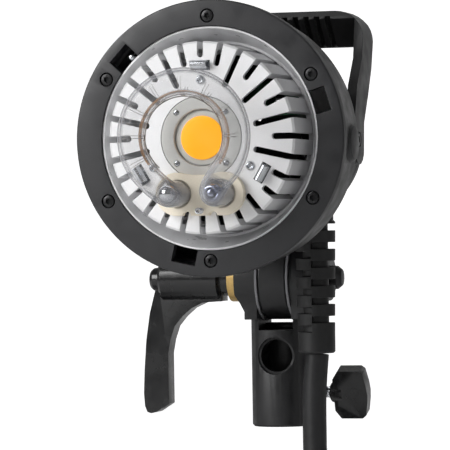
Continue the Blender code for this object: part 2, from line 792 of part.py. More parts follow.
for number, angle in enumerate(clip_angles, 1):
    seat = empty(f"clip_seat_{number}", (0, 0, 0), (0, 0, radians(angle)), light)
    leaf = slab(f"dome_clip_{number}", [leaf_path], -CLIP_WIDTH / 2, CLIP_WIDTH / 2, seat, STEEL)
    leaf.rotation_euler = (pi / 2, 0, 0)
    rivet = turned(
        f"clip_rivet_{number}",
        [
            (0, DRUM_AHEAD + GAP + 0.001),
            (CLIP_RIVET_RADIUS * 0.6, DRUM_AHEAD + GAP + 0.001),
            (CLIP_RIVET_RADIUS, DRUM_AHEAD + GAP),
            (0.0012, DRUM_AHEAD + GAP),
            (0.0012, leaf_back - 0.0004),
            (0, leaf_back - 0.0004),
        ],
        seat,
        steps=12,
    )
    rivet.location = (CLIP_RIVET_CIRCLE, 0, 0)
    join(leaf, rivet)

# --- Ceramic base and flash tube -----------------------------------------------------------------------------

base_back = DRUM_AHEAD + GAP
base_front = base_back + BASE_THICK
leg_hole = TUBE_RADIUS + GAP
lobe_low = BASE_LOBE_Y - BASE_LOBE_RADIUS
saddle_y = BASE_LOBE_Y + BASE_LOBE_RADIUS - 0.0012
right_half = arc(BASE_LOBE_X, BASE_LOBE_Y, BASE_LOBE_RADIUS, -90, 108, 13)
right_half.append((BASE_SADDLE_X, saddle_y))
base_outline = right_half + [(-x, y) for x, y in right_half[::-1]]
leg_holes = [circle(side * TUBE_LEG_X, TUBE_LEG_Y, leg_hole, 16) for side in (-1, 1)]
base = slab("tube_base", [base_outline], base_back, base_front, light, CERAMIC)
leg_seats = slab("leg_seats", leg_holes, base_back + 0.0006, base_front + 0.001, light)
pin_holes = [circle(side * TUBE_LEG_X, TUBE_LEG_Y, ELECTRODE_RADIUS + GAP, 12) for side in (-1, 1)]
notch_circles = [circle(side * BASE_NOTCH_X, lobe_low, BASE_NOTCH_RADIUS, 14) for side in (-1, 1)]
cut(
    base,
    leg_seats,
    slab("electrode_holes", pin_holes, base_back - 0.001, base_front, light),
    slab("base_notches", notch_circles, base_back - 0.001, base_front + 0.001, light),
)

# The ring's ends leave along a tangent and turn back into the two legs.
leg_reach = hypot(TUBE_LEG_X, TUBE_LEG_Y)
turn_radius = sqrt(leg_reach**2 - TUBE_CIRCLE**2)
leg_deg = degrees(atan2(TUBE_LEG_Y, -TUBE_LEG_X)) % 360
end_deg = leg_deg - degrees(asin(turn_radius / leg_reach))


def tube_centre_line(steps, bend_steps):
    """Points from the foot of the left leg round the ring to the foot of the right one."""
    end_x, end_y = polar(TUBE_CIRCLE, end_deg)
    along_x, along_y = -sin(radians(end_deg)), cos(radians(end_deg))
    left = [(-TUBE_LEG_X, TUBE_LEG_Y, TUBE_FOOT)]
    for i in range(bend_steps):
        angle = pi / 2 * i / bend_steps
        reach = turn_radius * cos(angle)
        left.append(
            (
                end_x + along_x * reach,
                end_y + along_y * reach,
                TUBE_AHEAD - turn_radius + turn_radius * sin(angle),
            )
        )
    sweep = end_deg - 90
    ring_points = [(*polar(TUBE_CIRCLE, end_deg - sweep * i / steps), TUBE_AHEAD) for i in range(steps)]
    half = left + ring_points
    return half + [(0, TUBE_CIRCLE, TUBE_AHEAD)] + [(-x, y, z) for x, y, z in half[::-1]]


glass_guide = tube("glass_guide", tube_centre_line(9, 3), TUBE_RADIUS, light, GLASS)
glass_guide.data.use_fill_caps = False
graph = bpy.context.evaluated_depsgraph_get()
glass_mesh = bpy.data.meshes.new_from_object(glass_guide.evaluated_get(graph))
glass_mesh.materials.clear()
bpy.data.objects.remove(glass_guide)
glass = add("flash_tube", glass_mesh, light, GLASS)
wall = glass.modifiers.new("wall", "SOLIDIFY")
wall.thickness = TUBE_WALL
wall.offset = -1

ball_z = TUBE_AHEAD - turn_radius
for side, name in ((-1, "electrode_left"), (1, "electrode_right")):
    ball = arc(0, ball_z, ELECTRODE_BALL, 90, -48, 7)
    electrode = turned(
        name,
        [(0, ball_z + ELECTRODE_BALL)]
        + ball[1:]
        + [(ELECTRODE_RADIUS, base_back - 0.004), (0, base_back - 0.004)],
        light,
        STEEL,
        steps=10,
    )
    electrode.location = (side * TUBE_LEG_X, TUBE_LEG_Y, 0)
leg_pin_holes = slab("drum_pin_holes", pin_holes, FACE_BACK - 0.001, DRUM_AHEAD + 0.001, light)
cut(drum, leg_pin_holes)

wire_radius = TUBE_CIRCLE - TUBE_RADIUS - GAP - WIRE_RADIUS
wire_points = [
    (*polar(wire_radius, -50 + 280 * i / 26), TUBE_AHEAD + 0.0004 * sin(pi * i / 2)) for i in range(27)
]
tube("trigger_wire", wire_points, WIRE_RADIUS, light, STEEL, sides_level=1)

# --- Rear housing ------------------------------------------------------------------------------------------------

spigot_front = REAR_START + SPIGOT_LENGTH
rear = turned(
    "rear_housing",
    [
        (spigot_radius, spigot_front),
        (spigot_radius, REAR_START),
        (REAR_RADIUS, REAR_START),
        (REAR_RADIUS, TAIL_TAPER - TAIL_BACK),
        (TAIL_RADIUS, -TAIL_BACK),
        (TAIL_RADIUS, REAR_END),
        (TAIL_INNER, REAR_END),
        (TAIL_INNER, REAR_WALL - TAIL_BACK),
        (REAR_INNER, REAR_WALL + TAIL_TAPER - TAIL_BACK),
        (REAR_INNER, REAR_START - 0.002),
        (spigot_radius - REAR_WALL, REAR_START),
        (spigot_radius - REAR_WALL, spigot_front),
    ],
    light,
    BLACK_CASE,
    steps=32,
)
# Holes square to the light's axis are bored along y, which is up.
upright = (-pi / 2, 0, 0)
relief_hole = rod("relief_hole", RELIEF_TOP_RADIUS + GAP, -REAR_RADIUS, NUT_TOP, light, steps=24)
relief_hole.location = (LEAD_X, 0, -LEAD_BACK)
relief_hole.rotation_euler = upright
knuckle_back = -RING_FACE_Y
knuckle_screw_backs = [knuckle_back - KNUCKLE_SCREW_SPREAD, knuckle_back + KNUCKLE_SCREW_SPREAD]
KNUCKLE_SCREW_SHANK = 0.002
knuckle_holes = []
for number, back in enumerate(knuckle_screw_backs, 1):
    hole = rod(f"knuckle_hole_{number}", KNUCKLE_SCREW_SHANK + GAP, -0.0595, -0.030, light, steps=14)
    hole.location = (0, 0, -back)
    hole.rotation_euler = upright
    knuckle_holes.append(hole)
HANDLE_SCREW_SHANK = 0.002
handle_holes = rod("handle_holes", HANDLE_SCREW_SHANK + GAP, -0.07, 0.07, light, steps=14)
handle_holes.location = (0, HANDLE_SCREW_Y, -HANDLE_SCREW_BACK)
handle_holes.rotation_euler = (0, pi / 2, 0)
vents = []
for number in range(VENTS):
    back = HANDLE_SCREW_BACK + VENTS_BACK + number * VENT_WIDTH * 2
    vents.append(rectangle(back, back + VENT_WIDTH, -VENT_HEIGHT / 2, VENT_HEIGHT / 2))
side_vents = sideways(slab("side_vents", vents, -0.07, 0.07, light))
cut(rear, relief_hole, *knuckle_holes, handle_holes, side_vents)

# --- Rear cover and fan ----------------------------------------------------------------------------------------------

cover_front = REAR_END - GAP
cover_back = cover_front - COVER_DEPTH
cover = turned(
    "rear_cover",
    [
        (TAIL_RADIUS, cover_front),
        (TAIL_RADIUS, cover_back + COVER_EDGE),
        (TAIL_RADIUS - COVER_EDGE * 0.3, cover_back + COVER_EDGE * 0.3),
        (TAIL_RADIUS - COVER_EDGE, cover_back),
        (0, cover_back),
        (0, cover_back + REAR_WALL),
        (TAIL_INNER - COVER_EDGE * 0.4, cover_back + REAR_WALL),
        (TAIL_INNER, cover_back + REAR_WALL + 0.002),
        (TAIL_INNER, cover_front),
    ],
    light,
    BLACK_CASE,
    steps=32,
)
grille = []
for radius in (0.013, 0.022):
    for angle in around(5, 18):
        outer = arc(0, 0, radius + 0.0019, angle - 28, angle + 28, 3)
        inner = arc(0, 0, radius - 0.0019, angle + 28, angle - 28, 3)
        grille.append(outer + inner)
cut(cover, slab("fan_grille", grille, cover_back - 0.001, cover_back + REAR_WALL + 0.001, light))

fan_back = REAR_END + GAP
fan_front = fan_back + FAN_DEPTH
half_fan = FAN_SIDE / 2
fan_square = rectangle(-half_fan, half_fan, -half_fan, half_fan)
fan_outlines = [fan_square, circle(0, 0, FAN_BORE, 24)]
fan_frame = slab("fan_frame", fan_outlines, fan_back, fan_front, light, BLACK_HANDLE)
motor_plate = rod("motor_plate", FAN_HUB, fan_back, fan_back + 0.003, light, steps=20)
struts = [motor_plate]
for angle in around(3, 30):
    strut = block(
        f"fan_strut_{int(angle)}",
        (FAN_HUB / 2, -0.0015, fan_back),
        (FAN_BORE + 0.001, 0.0015, fan_back + 0.002),
        light,
    )
    strut.rotation_euler.z = radians(angle)
    struts.append(strut)
join(fan_frame, *struts)
rotor_back = fan_back + 0.003 + 2 * RUNNING_GAP
rotor_front = fan_front - 0.001
rotor = rod("fan_rotor", FAN_HUB, rotor_back, rotor_front, light, BLACK_HANDLE, steps=21)
blade_middle = (rotor_back + rotor_front) / 2
blades = []
for number, angle in enumerate(around(FAN_BLADES), 1):
    blade = block(
        f"fan_blade_{number}",
        (FAN_HUB - 0.002, -FAN_BLADE_WIDTH / 2, -0.0006),
        (FAN_BORE - 3 * RUNNING_GAP, FAN_BLADE_WIDTH / 2, 0.0006),
        light,
    )
    blade.location.z = blade_middle
    blade.rotation_euler = (radians(FAN_BLADE_PITCH_DEG), 0, radians(angle))
    blades.append(blade)
join(rotor, *blades)

# --- Electronics inside the rear housing --------------------------------------------------------------------------------

board_top = BOARD_Y + BOARD_THICK
board = block(
    "power_board",
    (-BOARD_WIDTH / 2, BOARD_Y, -BOARD_BACK - BOARD_LENGTH),
    (BOARD_WIDTH / 2, board_top, -BOARD_BACK),
    light,
    BOARD_GREEN,
)
capacitors = []
for number, x in enumerate((-CAPACITOR_PITCH, 0.0, CAPACITOR_PITCH), 1):
    capacitor = rod(f"capacitor_{number}", CAPACITOR_RADIUS, -BOARD_THICK / 2, CAPACITOR_HEIGHT, light, steps=16)
    capacitor.location = (x, board_top, -CAPACITOR_BACK)
    capacitor.rotation_euler = upright
    capacitors.append(capacitor)
join(board, *capacitors)
coil_back = -BOARD_BACK - TRIGGER_COIL_LENGTH
trigger_coil = turned(
    "trigger_coil",
    [
        (TRIGGER_COIL_RADIUS, -BOARD_BACK),
        (TRIGGER_COIL_RADIUS, coil_back),
        (TRIGGER_COIL_BORE, coil_back),
        (TRIGGER_COIL_BORE, -BOARD_BACK),
    ],
    light,
    COPPER,
    steps=20,
)
trigger_coil.location = (-0.012, BOARD_Y - TRIGGER_COIL_RADIUS - 0.015, 0)

# --- Carrying handle ------------------------------------------------------------------------------------------------------

# Side outlines hold (back, up): the arms lean back as they rise, and the bar's underside slopes.
arm_outline = [
    (0.104, HANDLE_TOP),
    (0.1025, 0.059),
    (0.098, 0.041),
    (0.0865, 0.027),
    (0.0815, 0.012),
] + arc(HANDLE_SCREW_BACK, HANDLE_SCREW_Y - 0.002, 0.0105, 150, 330, 8) + [
    (0.1005, 0.0085),
    (0.1097, 0.022),
    (0.118, 0.036),
    (0.1225, 0.050),
    (0.1225, 0.058),
    (0.118, HANDLE_TOP),
]
bar_outline = [
    (0.104, HANDLE_TOP),
    (0.104, HANDLE_TOP - 0.004),
    (0.118, HANDLE_TOP - 0.0175),
    (0.1205, HANDLE_TOP - 0.0178),
    (0.1225, HANDLE_TOP - 0.015),
    (0.1225, HANDLE_TOP - 0.007),
    (0.118, HANDLE_TOP),
]
corner_x, corner_y = HANDLE_OUTER_X - HANDLE_CORNER, HANDLE_TOP - HANDLE_CORNER
front_outline = (
    [(HANDLE_OUTER_X, -0.02)]
    + arc(corner_x, corner_y, HANDLE_CORNER, 0, 90, 8)
    + arc(-corner_x, corner_y, HANDLE_CORNER, 90, 180, 8)
    + [(-HANDLE_OUTER_X, -0.02)]
)

handle = sideways(slab("handle", [arm_outline], -HANDLE_OUTER_X, HANDLE_OUTER_X, light, BLACK_HANDLE))
bar_reach = HANDLE_OUTER_X - 0.001
handle_bar = sideways(slab("handle_bar", [bar_outline], -bar_reach, bar_reach, light))
between_arms = block(
    "between_arms",
    (-HANDLE_INNER_X, -0.03, -0.14),
    (HANDLE_INNER_X, HANDLE_TOP + 0.01, -0.06),
    light,
)
handle_shape = slab("handle_shape", [front_outline], -0.14, -0.06, light)
cut(handle, between_arms)
join(handle, handle_bar)
keep_common(handle, handle_shape)
handle_bores = rod("handle_bores", 0.0035 + GAP, 0, 0.02, light, steps=16)
handle_bores.location = (HANDLE_OUTER_X - 0.0027, HANDLE_SCREW_Y, -HANDLE_SCREW_BACK)
handle_bores.rotation_euler = (0, pi / 2, 0)
left_bore = rod("left_handle_bore", 0.0035 + GAP, 0, 0.02, light, steps=16)
left_bore.location = (-HANDLE_OUTER_X + 0.0027, HANDLE_SCREW_Y, -HANDLE_SCREW_BACK)
left_bore.rotation_euler = (0, -pi / 2, 0)
cut(handle, handle_holes, handle_bores, left_bore)
handle_screw = cap_screw("handle_screw", 0.0035, 0.0022, HANDLE_SCREW_SHANK, 0.0115)
remove_pattern(handle_screw)
for side, name in ((-1, "handle_screw_left"), (1, "handle_screw_right")):
    place(
        name,
        handle_screw,
        light,
        (side * (HANDLE_OUTER_X - 0.0002), HANDLE_SCREW_Y, -HANDLE_SCREW_BACK),
        (0, side * pi / 2, 0),
    )

# --- Tilt knuckle under the rear housing -------------------------------------------------------------------------------------

axis_drop = LIGHT_AXIS_Z - TILT_AXIS_Z
knuckle = rod("tilt_knuckle", KNUCKLE_RADIUS, -KNUCKLE_HALF_WIDTH, KNUCKLE_HALF_WIDTH, light, BLACK_CAST, steps=28)
knuckle.location = (0, -axis_drop, -knuckle_back)
knuckle.rotation_euler = (0, pi / 2, 0)
neck_half = KNUCKLE_RADIUS - 0.0055
knuckle_neck = block(
    "knuckle_neck",
    (-KNUCKLE_HALF_WIDTH, -axis_drop, -neck_half),
    (KNUCKLE_HALF_WIDTH, -TAIL_INNER, neck_half),
    light,
)
knuckle_neck.location.z = -knuckle_back
housing_room = rod("housing_room", TAIL_RADIUS + 2 * GAP, -0.2, -0.07, light, steps=40)
bolt_hole = rod("bolt_hole", BOLT_RADIUS + GAP, -0.08, 0.08, bolt_line, steps=18)
join(knuckle, knuckle_neck)
cut(knuckle, housing_room, bolt_hole, *knuckle_holes)
knuckle_screw = cap_screw("knuckle_screw", 0.0035, 0.0022, KNUCKLE_SCREW_SHANK, 0.0165)
remove_pattern(knuckle_screw)
screw_top = -sqrt(TAIL_INNER**2 - 0.0038**2) + GAP + 0.0022
for number, back in enumerate(knuckle_screw_backs, 1):
    place(f"knuckle_screw_{number}", knuckle_screw, light, (0, screw_top, -back), upright)

# --- Strain relief and its nut ----------------------------------------------------------------------------------------------------

relief_top = NUT_TOP - NUT_HEIGHT
gland_nut = turned(
    "gland_nut",
    [
        (NUT_RADIUS, NUT_TOP),
        (NUT_RADIUS, relief_top + 0.0008),
        (NUT_RADIUS - 0.0008, relief_top),
        (LEAD_RADIUS, relief_top),
        (LEAD_RADIUS, NUT_TOP),
    ],
    light,
    BLACK_RUBBER,
    steps=24,
)
relief = turned(
    "strain_relief",
    [
        (0, relief_top - GAP),
        (RELIEF_TOP_RADIUS, relief_top - GAP),
        (RELIEF_FOOT_RADIUS, RELIEF_FOOT + RELIEF_COLLAR),
        (RELIEF_FOOT_RADIUS, RELIEF_FOOT + 0.0008),
        (RELIEF_FOOT_RADIUS - 0.0008, RELIEF_FOOT),
        (0, RELIEF_FOOT),
    ],
    light,
    BLACK_RUBBER,
    steps=14,
)
for piece in (gland_nut, relief):
    piece.location = (LEAD_X, 0, -LEAD_BACK)
    piece.rotation_euler = upright
slot_outer = RELIEF_TOP_RADIUS + 0.002
slot_half = arc(0, 0, slot_outer, -90, 90, 4) + arc(0, 0, RELIEF_CORE, 90, -90, 5)
slotted_length = relief_top - RELIEF_PLAIN - RELIEF_FOOT - RELIEF_COLLAR
relief_slots = []
for number in range(int(slotted_length / RELIEF_PITCH * 2)):
    middle = RELIEF_FOOT + RELIEF_COLLAR + RELIEF_PITCH * (number + 0.5) / 2
    low, high = middle - RELIEF_SLOT / 2, middle + RELIEF_SLOT / 2
    outline = slot_half if number % 2 else spun(slot_half, 180)
    relief_slot = slab(f"relief_slot_{number + 1}", [outline], low, high, light)
    relief_slot.location = (LEAD_X, 0, -LEAD_BACK)
    relief_slot.rotation_euler = upright
    relief_slots.append(relief_slot)
cut(relief, *relief_slots)

# --- Bracket: a fork on a socketed stem ---------------------------------------------------------------------------------------------

ear_start_deg = -degrees(acos(STEM_RADIUS / EAR_RADIUS))
ear_low_z = TILT_AXIS_Z - sqrt(EAR_RADIUS**2 - STEM_RADIUS**2)
ear_side = (
    [(-STEM_RADIUS, EAR_ROOT_Z), (STEM_RADIUS, EAR_ROOT_Z), (STEM_RADIUS, ear_low_z)]
    + arc(0, TILT_AXIS_Z, EAR_RADIUS, ear_start_deg, 180 - ear_start_deg, 17)[1:-1]
    + [(-STEM_RADIUS, ear_low_z)]
)
ear_front = [
    (-EAR_OUTER_X, 0.10),
    (-EAR_OUTER_X, EAR_FOOT_Z),
    (-STEM_RADIUS + 0.0002, SHOULDER_Z),
    (-STEM_RADIUS + 0.0002, 0.03),
    (STEM_RADIUS - 0.0002, 0.03),
    (STEM_RADIUS - 0.0002, SHOULDER_Z),
    (EAR_OUTER_X, EAR_FOOT_Z),
    (EAR_OUTER_X, 0.10),
]
bracket = turned(
    "bracket_fork",
    [
        (0, 0.057),
        (STEM_RADIUS, 0.057),
        (STEM_RADIUS, STEM_CHAMFER),
        (STEM_RADIUS - STEM_CHAMFER, 0),
        (0, 0),
    ],
    stand,
    BLACK_CAST,
    steps=32,
)
ears = slab("ears", [ear_side], -EAR_OUTER_X, EAR_OUTER_X, stand)
ears.rotation_euler = (pi / 2, 0, pi / 2)
ears_width = slab("ears_width", [ear_front], -0.03, 0.03, stand)
ears_width.rotation_euler = (pi / 2, 0, 0)
keep_common(ears, ears_width)
join(bracket, ears)
fork_gap = rod("fork_gap", DISC_RADIUS + 0.0009, -EAR_INNER_X, EAR_INNER_X, bolt_line, steps=34)
socket = rod("socket", SOCKET_RADIUS, -0.001, SOCKET_DEPTH, stand, steps=28)
cross_hole = rod("cross_hole", CROSS_HOLE_RADIUS, 0, 0.02, stand, steps=26)
cross_mouth = rod("cross_mouth", CROSS_MOUTH_RADIUS, STEM_RADIUS - CROSS_MOUTH_DEPTH, 0.02, stand, steps=30)
for piece in (cross_hole, cross_mouth):
    piece.location.z = CROSS_HOLE_Z
    piece.rotation_euler = (pi / 2, 0, 0)
clamp_hole = rod("clamp_hole", CLAMP_SCREW_RADIUS + GAP, 0.004, 0.02, clamp_axis, steps=16)
fork_slot = block(
    "fork_slot",
    (-EAR_INNER_X, -0.03, SOCKET_DEPTH + FORK_FLOOR),
    (EAR_INNER_X, 0.03, TILT_AXIS_Z),
    stand,
)
cut(bracket, fork_gap, fork_slot, socket, cross_hole, cross_mouth, clamp_hole, bolt_hole)

# --- Bolt, discs and washers of the tilt joint -------------------------------------------------------------------------------------

hub_end = WASHER_OUTER_X + GAP + HUB_NECK_LENGTH + HUB_LENGTH
bolt_end = -hub_end + 0.004
turned(
    "tilt_bolt",
    [
        (0, WASHER_OUTER_X + GAP + BOLT_HEAD_LENGTH),
        (BOLT_HEAD_RADIUS - 0.0022, WASHER_OUTER_X + GAP + BOLT_HEAD_LENGTH - 0.0004),
        (BOLT_HEAD_RADIUS - 0.0004, WASHER_OUTER_X + GAP + BOLT_HEAD_LENGTH - 0.0026),
        (BOLT_HEAD_RADIUS, WASHER_OUTER_X + GAP),
        (BOLT_RADIUS, WASHER_OUTER_X + GAP),
        (BOLT_RADIUS, bolt_end),
        (0, bolt_end),
    ],
    bolt_line,
    STEEL,
    steps=18,
)
for side, name in ((-1, "friction_disc_left"), (1, "friction_disc_right")):
    near = KNUCKLE_HALF_WIDTH + GAP
    low, high = sorted((side * near, side * (near + DISC_THICK)))
    turned(
        name,
        [(DISC_RADIUS, high), (DISC_RADIUS, low), (BOLT_RADIUS + GAP, low), (BOLT_RADIUS + GAP, high)],
        bolt_line,
        NYLON,
        steps=20,
    )
for side, name, material in ((-1, "brass_washer", BRASS), (1, "steel_washer", BLACK_CAST)):
    near = EAR_OUTER_X + GAP
    low, high = sorted((side * near, side * (near + STEEL_WASHER_THICK)))
    turned(
        name,
        [(WASHER_RADIUS, high), (WASHER_RADIUS, low), (BOLT_RADIUS + GAP, low), (BOLT_RADIUS + GAP, high)],
        bolt_line,
        material,
        steps=18,
    )

# --- Clamp lever and its cap: drawn with z along -X, x up the lever -------------------------------------------------------------------

neck_start = WASHER_OUTER_X + GAP
hub_start = neck_start + HUB_NECK_LENGTH
lever = turned(
    "clamp_lever",
    [
        (0, hub_end),
        (HUB_RADIUS - 0.0015, hub_end),
        (HUB_RADIUS, hub_end - 0.0015),
        (HUB_RADIUS, hub_start + 0.001),
        (HUB_RADIUS - 0.001, hub_start),
        (HUB_NECK_RADIUS, hub_start),
        (HUB_NECK_RADIUS, neck_start),
        (0, neck_start),
    ],
    lever_axis,
    BLACK_LEVER,
    steps=24,
)
# The arm's outline holds (outward along -X, down from the axis).
lever_outline = [
    (0.0300, -0.004),
    (0.0620, -0.004),
    (0.0659, -0.0058),
    (0.0689, -0.0172),
    (0.0710, -0.0310),
    (0.0722, -0.0468),
    (0.0727, -0.0585),
    (0.0722, -0.0650),
    (0.0710, -0.0680),
    (0.0690, -0.0687),
    (0.0660, -0.0680),
    (0.0593, -0.0637),
    (0.0593, -0.0380),
    (0.0580, -0.0310),
    (0.0556, -0.0240),
    (0.0514, -0.0190),
    (0.0466, -0.0149),
    (0.0405, -0.0121),
    (0.0300, -0.0114),
]
lever_arm = slab("lever_arm", [[(-x, y) for x, y in lever_outline]], -LEVER_DEPTH / 2, LEVER_DEPTH / 2, stand)
lever_arm.rotation_euler = (pi / 2, 0, 0)
lever_arm.location.z = TILT_AXIS_Z
join(lever, lever_arm)
bolt_room = rod("bolt_room", BOLT_RADIUS + GAP, neck_start - 0.001, -bolt_end + 0.001, lever_axis, steps=20)
cap_room = rod("cap_room", CAP_RADIUS + GAP, hub_end, hub_end + 0.012, lever_axis, steps=20)
cut(lever, bolt_room, cap_room)
turned(
    "lever_cap",
    [
        (0, hub_end + GAP + CAP_LENGTH),
        (CAP_RADIUS - 0.0020, hub_end + GAP + CAP_LENGTH - 0.0003),
        (CAP_RADIUS - 0.0004, hub_end + GAP + CAP_LENGTH - 0.0020),
        (CAP_RADIUS, hub_end + GAP),
        (0, hub_end + GAP),
    ],
    lever_axis,
    BLACK_LEVER,
    steps=20,
)

# --- Spigot clamp: wing knob, screw and pad --------------------------------------------------------------------------------------------

rod("clamp_screw", CLAMP_SCREW_RADIUS, CLAMP_TIP_X, KNOB_START_X - GAP, clamp_axis, STEEL, steps=20)
rod(
    "clamp_pad",
    CLAMP_PAD_RADIUS,
    CLAMP_TIP_X - GAP - CLAMP_PAD_LENGTH,
    CLAMP_TIP_X - GAP,
    clamp_axis,
    BRASS,
    steps=16,
)
knob = turned(
    "wing_knob",
    [
        (0, KNOB_START_X + KNOB_COLLAR_LENGTH + 0.003),
        (KNOB_COLLAR_RADIUS, KNOB_START_X + KNOB_COLLAR_LENGTH + 0.003),
        (KNOB_COLLAR_RADIUS, KNOB_START_X + 0.0008),
        (KNOB_COLLAR_RADIUS - 0.0008, KNOB_START_X),
        (0, KNOB_START_X),
    ],
    clamp_axis,
    BLACK_LEVER,
    steps=24,
)
wing_low = KNOB_START_X + KNOB_COLLAR_LENGTH - 0.001
wing_high = wing_low + WING_LENGTH
wing_round = WING_HALF_HEIGHT * 0.72
wing_outline = (
    [(wing_low, -0.0085), (wing_low + 0.003, -WING_HALF_HEIGHT)]
    + [(wing_high - 0.0035, -WING_HALF_HEIGHT), (wing_high - 0.0016, -WING_HALF_HEIGHT + 0.0016)]
    + [(wing_high - 0.0004, -wing_round / 2), (wing_high, 0), (wing_high - 0.0004, wing_round / 2)]
    + [(wing_high - 0.0016, WING_HALF_HEIGHT - 0.0016), (wing_high - 0.0035, WING_HALF_HEIGHT)]
    + [(wing_low + 0.003, WING_HALF_HEIGHT), (wing_low, 0.0085)]
)
wing = slab("wing", [wing_outline], -WING_THICK / 2, WING_THICK / 2, stand)
wing.rotation_euler = (pi / 2 + radians(WING_TWIST_DEG), 0, 0)
wing.location.z = CLAMP_Z
join(knob, wing)

# --- Power lead: hanging stretch, wound coil, tail, tie and plug ----------------------------------------------------------------------------

lead_line_z = GROUND_Z + LEAD_RADIUS
bend_top_z = lead_line_z + BEND_RADIUS
coil_reach = COIL_OUTER_TURN + LEAD_RADIUS
lead_end_y = COIL_Y - sqrt(coil_reach**2 - (COIL_OUTER_TURN - LEAD_RADIUS) ** 2) - GAP
drop = [(LEAD_X, LEAD_Y, LEAD_TOP_Z + (bend_top_z - LEAD_TOP_Z) * i / 4) for i in range(4)]
bend = []
for i in range(9):
    angle = pi / 2 * i / 8
    bend.append((LEAD_X, LEAD_Y + BEND_RADIUS * (1 - cos(angle)), bend_top_z - BEND_RADIUS * sin(angle)))
run_start = LEAD_Y + BEND_RADIUS
run = [(LEAD_X, run_start + (lead_end_y - run_start) * i / 3, lead_line_z) for i in range(1, 4)]
tube("power_lead", drop + bend + run, LEAD_RADIUS, stand, BLACK_RUBBER)

coil = turned(
    "lead_coil",
    [
        (coil_reach, GROUND_Z + 4 * LEAD_RADIUS),
        (coil_reach, GROUND_Z),
        (COIL_INNER_TURN - LEAD_RADIUS, GROUND_Z),
        (COIL_INNER_TURN - LEAD_RADIUS, GROUND_Z + 4 * LEAD_RADIUS),
    ],
    stand,
    BLACK_RUBBER,
    steps=32,
)
coil.location = (COIL_X, COIL_Y, 0)

tail_x = COIL_X - COIL_OUTER_TURN
tail_z = GROUND_Z + LOCK_RING_RADIUS
tail_start_y = lead_end_y
tail_end_y = tail_start_y - LEAD_TAIL_LENGTH
top_turn_z = GROUND_Z + 3 * LEAD_RADIUS
tail_points = [
    (tail_x, tail_start_y - LEAD_TAIL_LENGTH * i / 5, top_turn_z + (tail_z - top_turn_z) * i / 5) for i in range(6)
]
tube("lead_tail", tail_points, LEAD_RADIUS, stand, BLACK_RUBBER)

plug_line = empty("plug_line", (tail_x, tail_end_y, tail_z), (pi / 2, 0, 0))
turned(
    "plug_body",
    [
        (0, BOOT_LENGTH + PLUG_LENGTH),
        (PLUG_RADIUS - 0.003, BOOT_LENGTH + PLUG_LENGTH),
        (PLUG_RADIUS - 0.003, BOOT_LENGTH + PLUG_LENGTH - LOCK_RING_LENGTH + 0.002),
        (PLUG_RADIUS, BOOT_LENGTH + PLUG_LENGTH - LOCK_RING_LENGTH - GAP),
        (PLUG_RADIUS, BOOT_LENGTH + 0.003),
        (PLUG_RADIUS - 0.003, BOOT_LENGTH),
        (LEAD_RADIUS + 0.002, GAP),
        (0, GAP),
    ],
    plug_line,
    BLACK_HANDLE,
    steps=20,
)
turned(
    "plug_lock_ring",
    [
        (LOCK_RING_RADIUS, BOOT_LENGTH + PLUG_LENGTH),
        (LOCK_RING_RADIUS, BOOT_LENGTH + PLUG_LENGTH - LOCK_RING_LENGTH + 0.004),
        (PLUG_RADIUS - 0.003 + RUNNING_GAP, BOOT_LENGTH + PLUG_LENGTH - LOCK_RING_LENGTH + 0.004),
        (PLUG_RADIUS - 0.003 + RUNNING_GAP, BOOT_LENGTH + PLUG_LENGTH),
    ],
    plug_line,
    STEEL,
    steps=20,
)

# --- Smooth shading on every round piece -------------------------------------------------------

SHARP_EDGE_DEG = 32
for obj in list(MODEL.objects):
    if obj.type == "MESH" and obj.modifiers:
        baked(obj)
    if obj.type == "MESH":
        obj.data.shade_smooth()
        obj.data.set_sharp_from_angle(angle=radians(SHARP_EDGE_DEG))
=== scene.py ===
"""The finished looks of a studio flash head on its stand bracket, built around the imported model.

Metres. Pieces of the head are drawn in the light's own coordinates, as in the part's source:
x to the right of someone facing the light, y up and z forward out of the bayonet ring.
"""

from math import acos, asin, atan2, cos, degrees, hypot, pi, radians, sin, sqrt

import bmesh
import bpy
from mathutils import Matrix, Vector


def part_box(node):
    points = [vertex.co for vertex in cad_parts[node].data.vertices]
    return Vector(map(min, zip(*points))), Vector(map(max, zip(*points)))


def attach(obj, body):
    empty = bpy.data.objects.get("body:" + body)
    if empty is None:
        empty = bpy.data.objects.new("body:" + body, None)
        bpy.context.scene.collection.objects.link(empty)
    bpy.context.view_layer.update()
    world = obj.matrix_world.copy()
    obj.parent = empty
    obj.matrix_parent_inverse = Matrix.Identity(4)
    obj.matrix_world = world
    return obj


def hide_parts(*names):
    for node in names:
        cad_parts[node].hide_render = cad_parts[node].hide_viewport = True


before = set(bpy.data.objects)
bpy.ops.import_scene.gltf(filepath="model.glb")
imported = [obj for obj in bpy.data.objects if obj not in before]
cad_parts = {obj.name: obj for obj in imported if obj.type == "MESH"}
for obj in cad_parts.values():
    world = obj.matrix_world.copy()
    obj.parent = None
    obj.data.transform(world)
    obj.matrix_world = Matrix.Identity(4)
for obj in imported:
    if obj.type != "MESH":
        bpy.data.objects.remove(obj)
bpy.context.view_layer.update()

# --- Studio: white floor and backdrop, three soft lights, and the camera --------------------------
# The head stands on nothing here: a stand's spigot would hold it by the socket under the stem.
# The floor is where the wound lead lies. The camera looks at the ring from a little to its right.

ring_low, ring_high = (Vector(corner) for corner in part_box("bayonet_ring"))
LIGHT_X, LIGHT_Z = (ring_low.x + ring_high.x) / 2, (ring_low.z + ring_high.z) / 2
RING_FACE_Y = ring_low.y
floor_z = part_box("lead_coil")[0][2]


def put(name, data, rotation=(0, 0, 0), place=(0, 0, 0)):
    obj = bpy.data.objects.new(name, data)
    obj.location = place
    obj.rotation_euler = rotation
    bpy.context.scene.collection.objects.link(obj)
    return obj


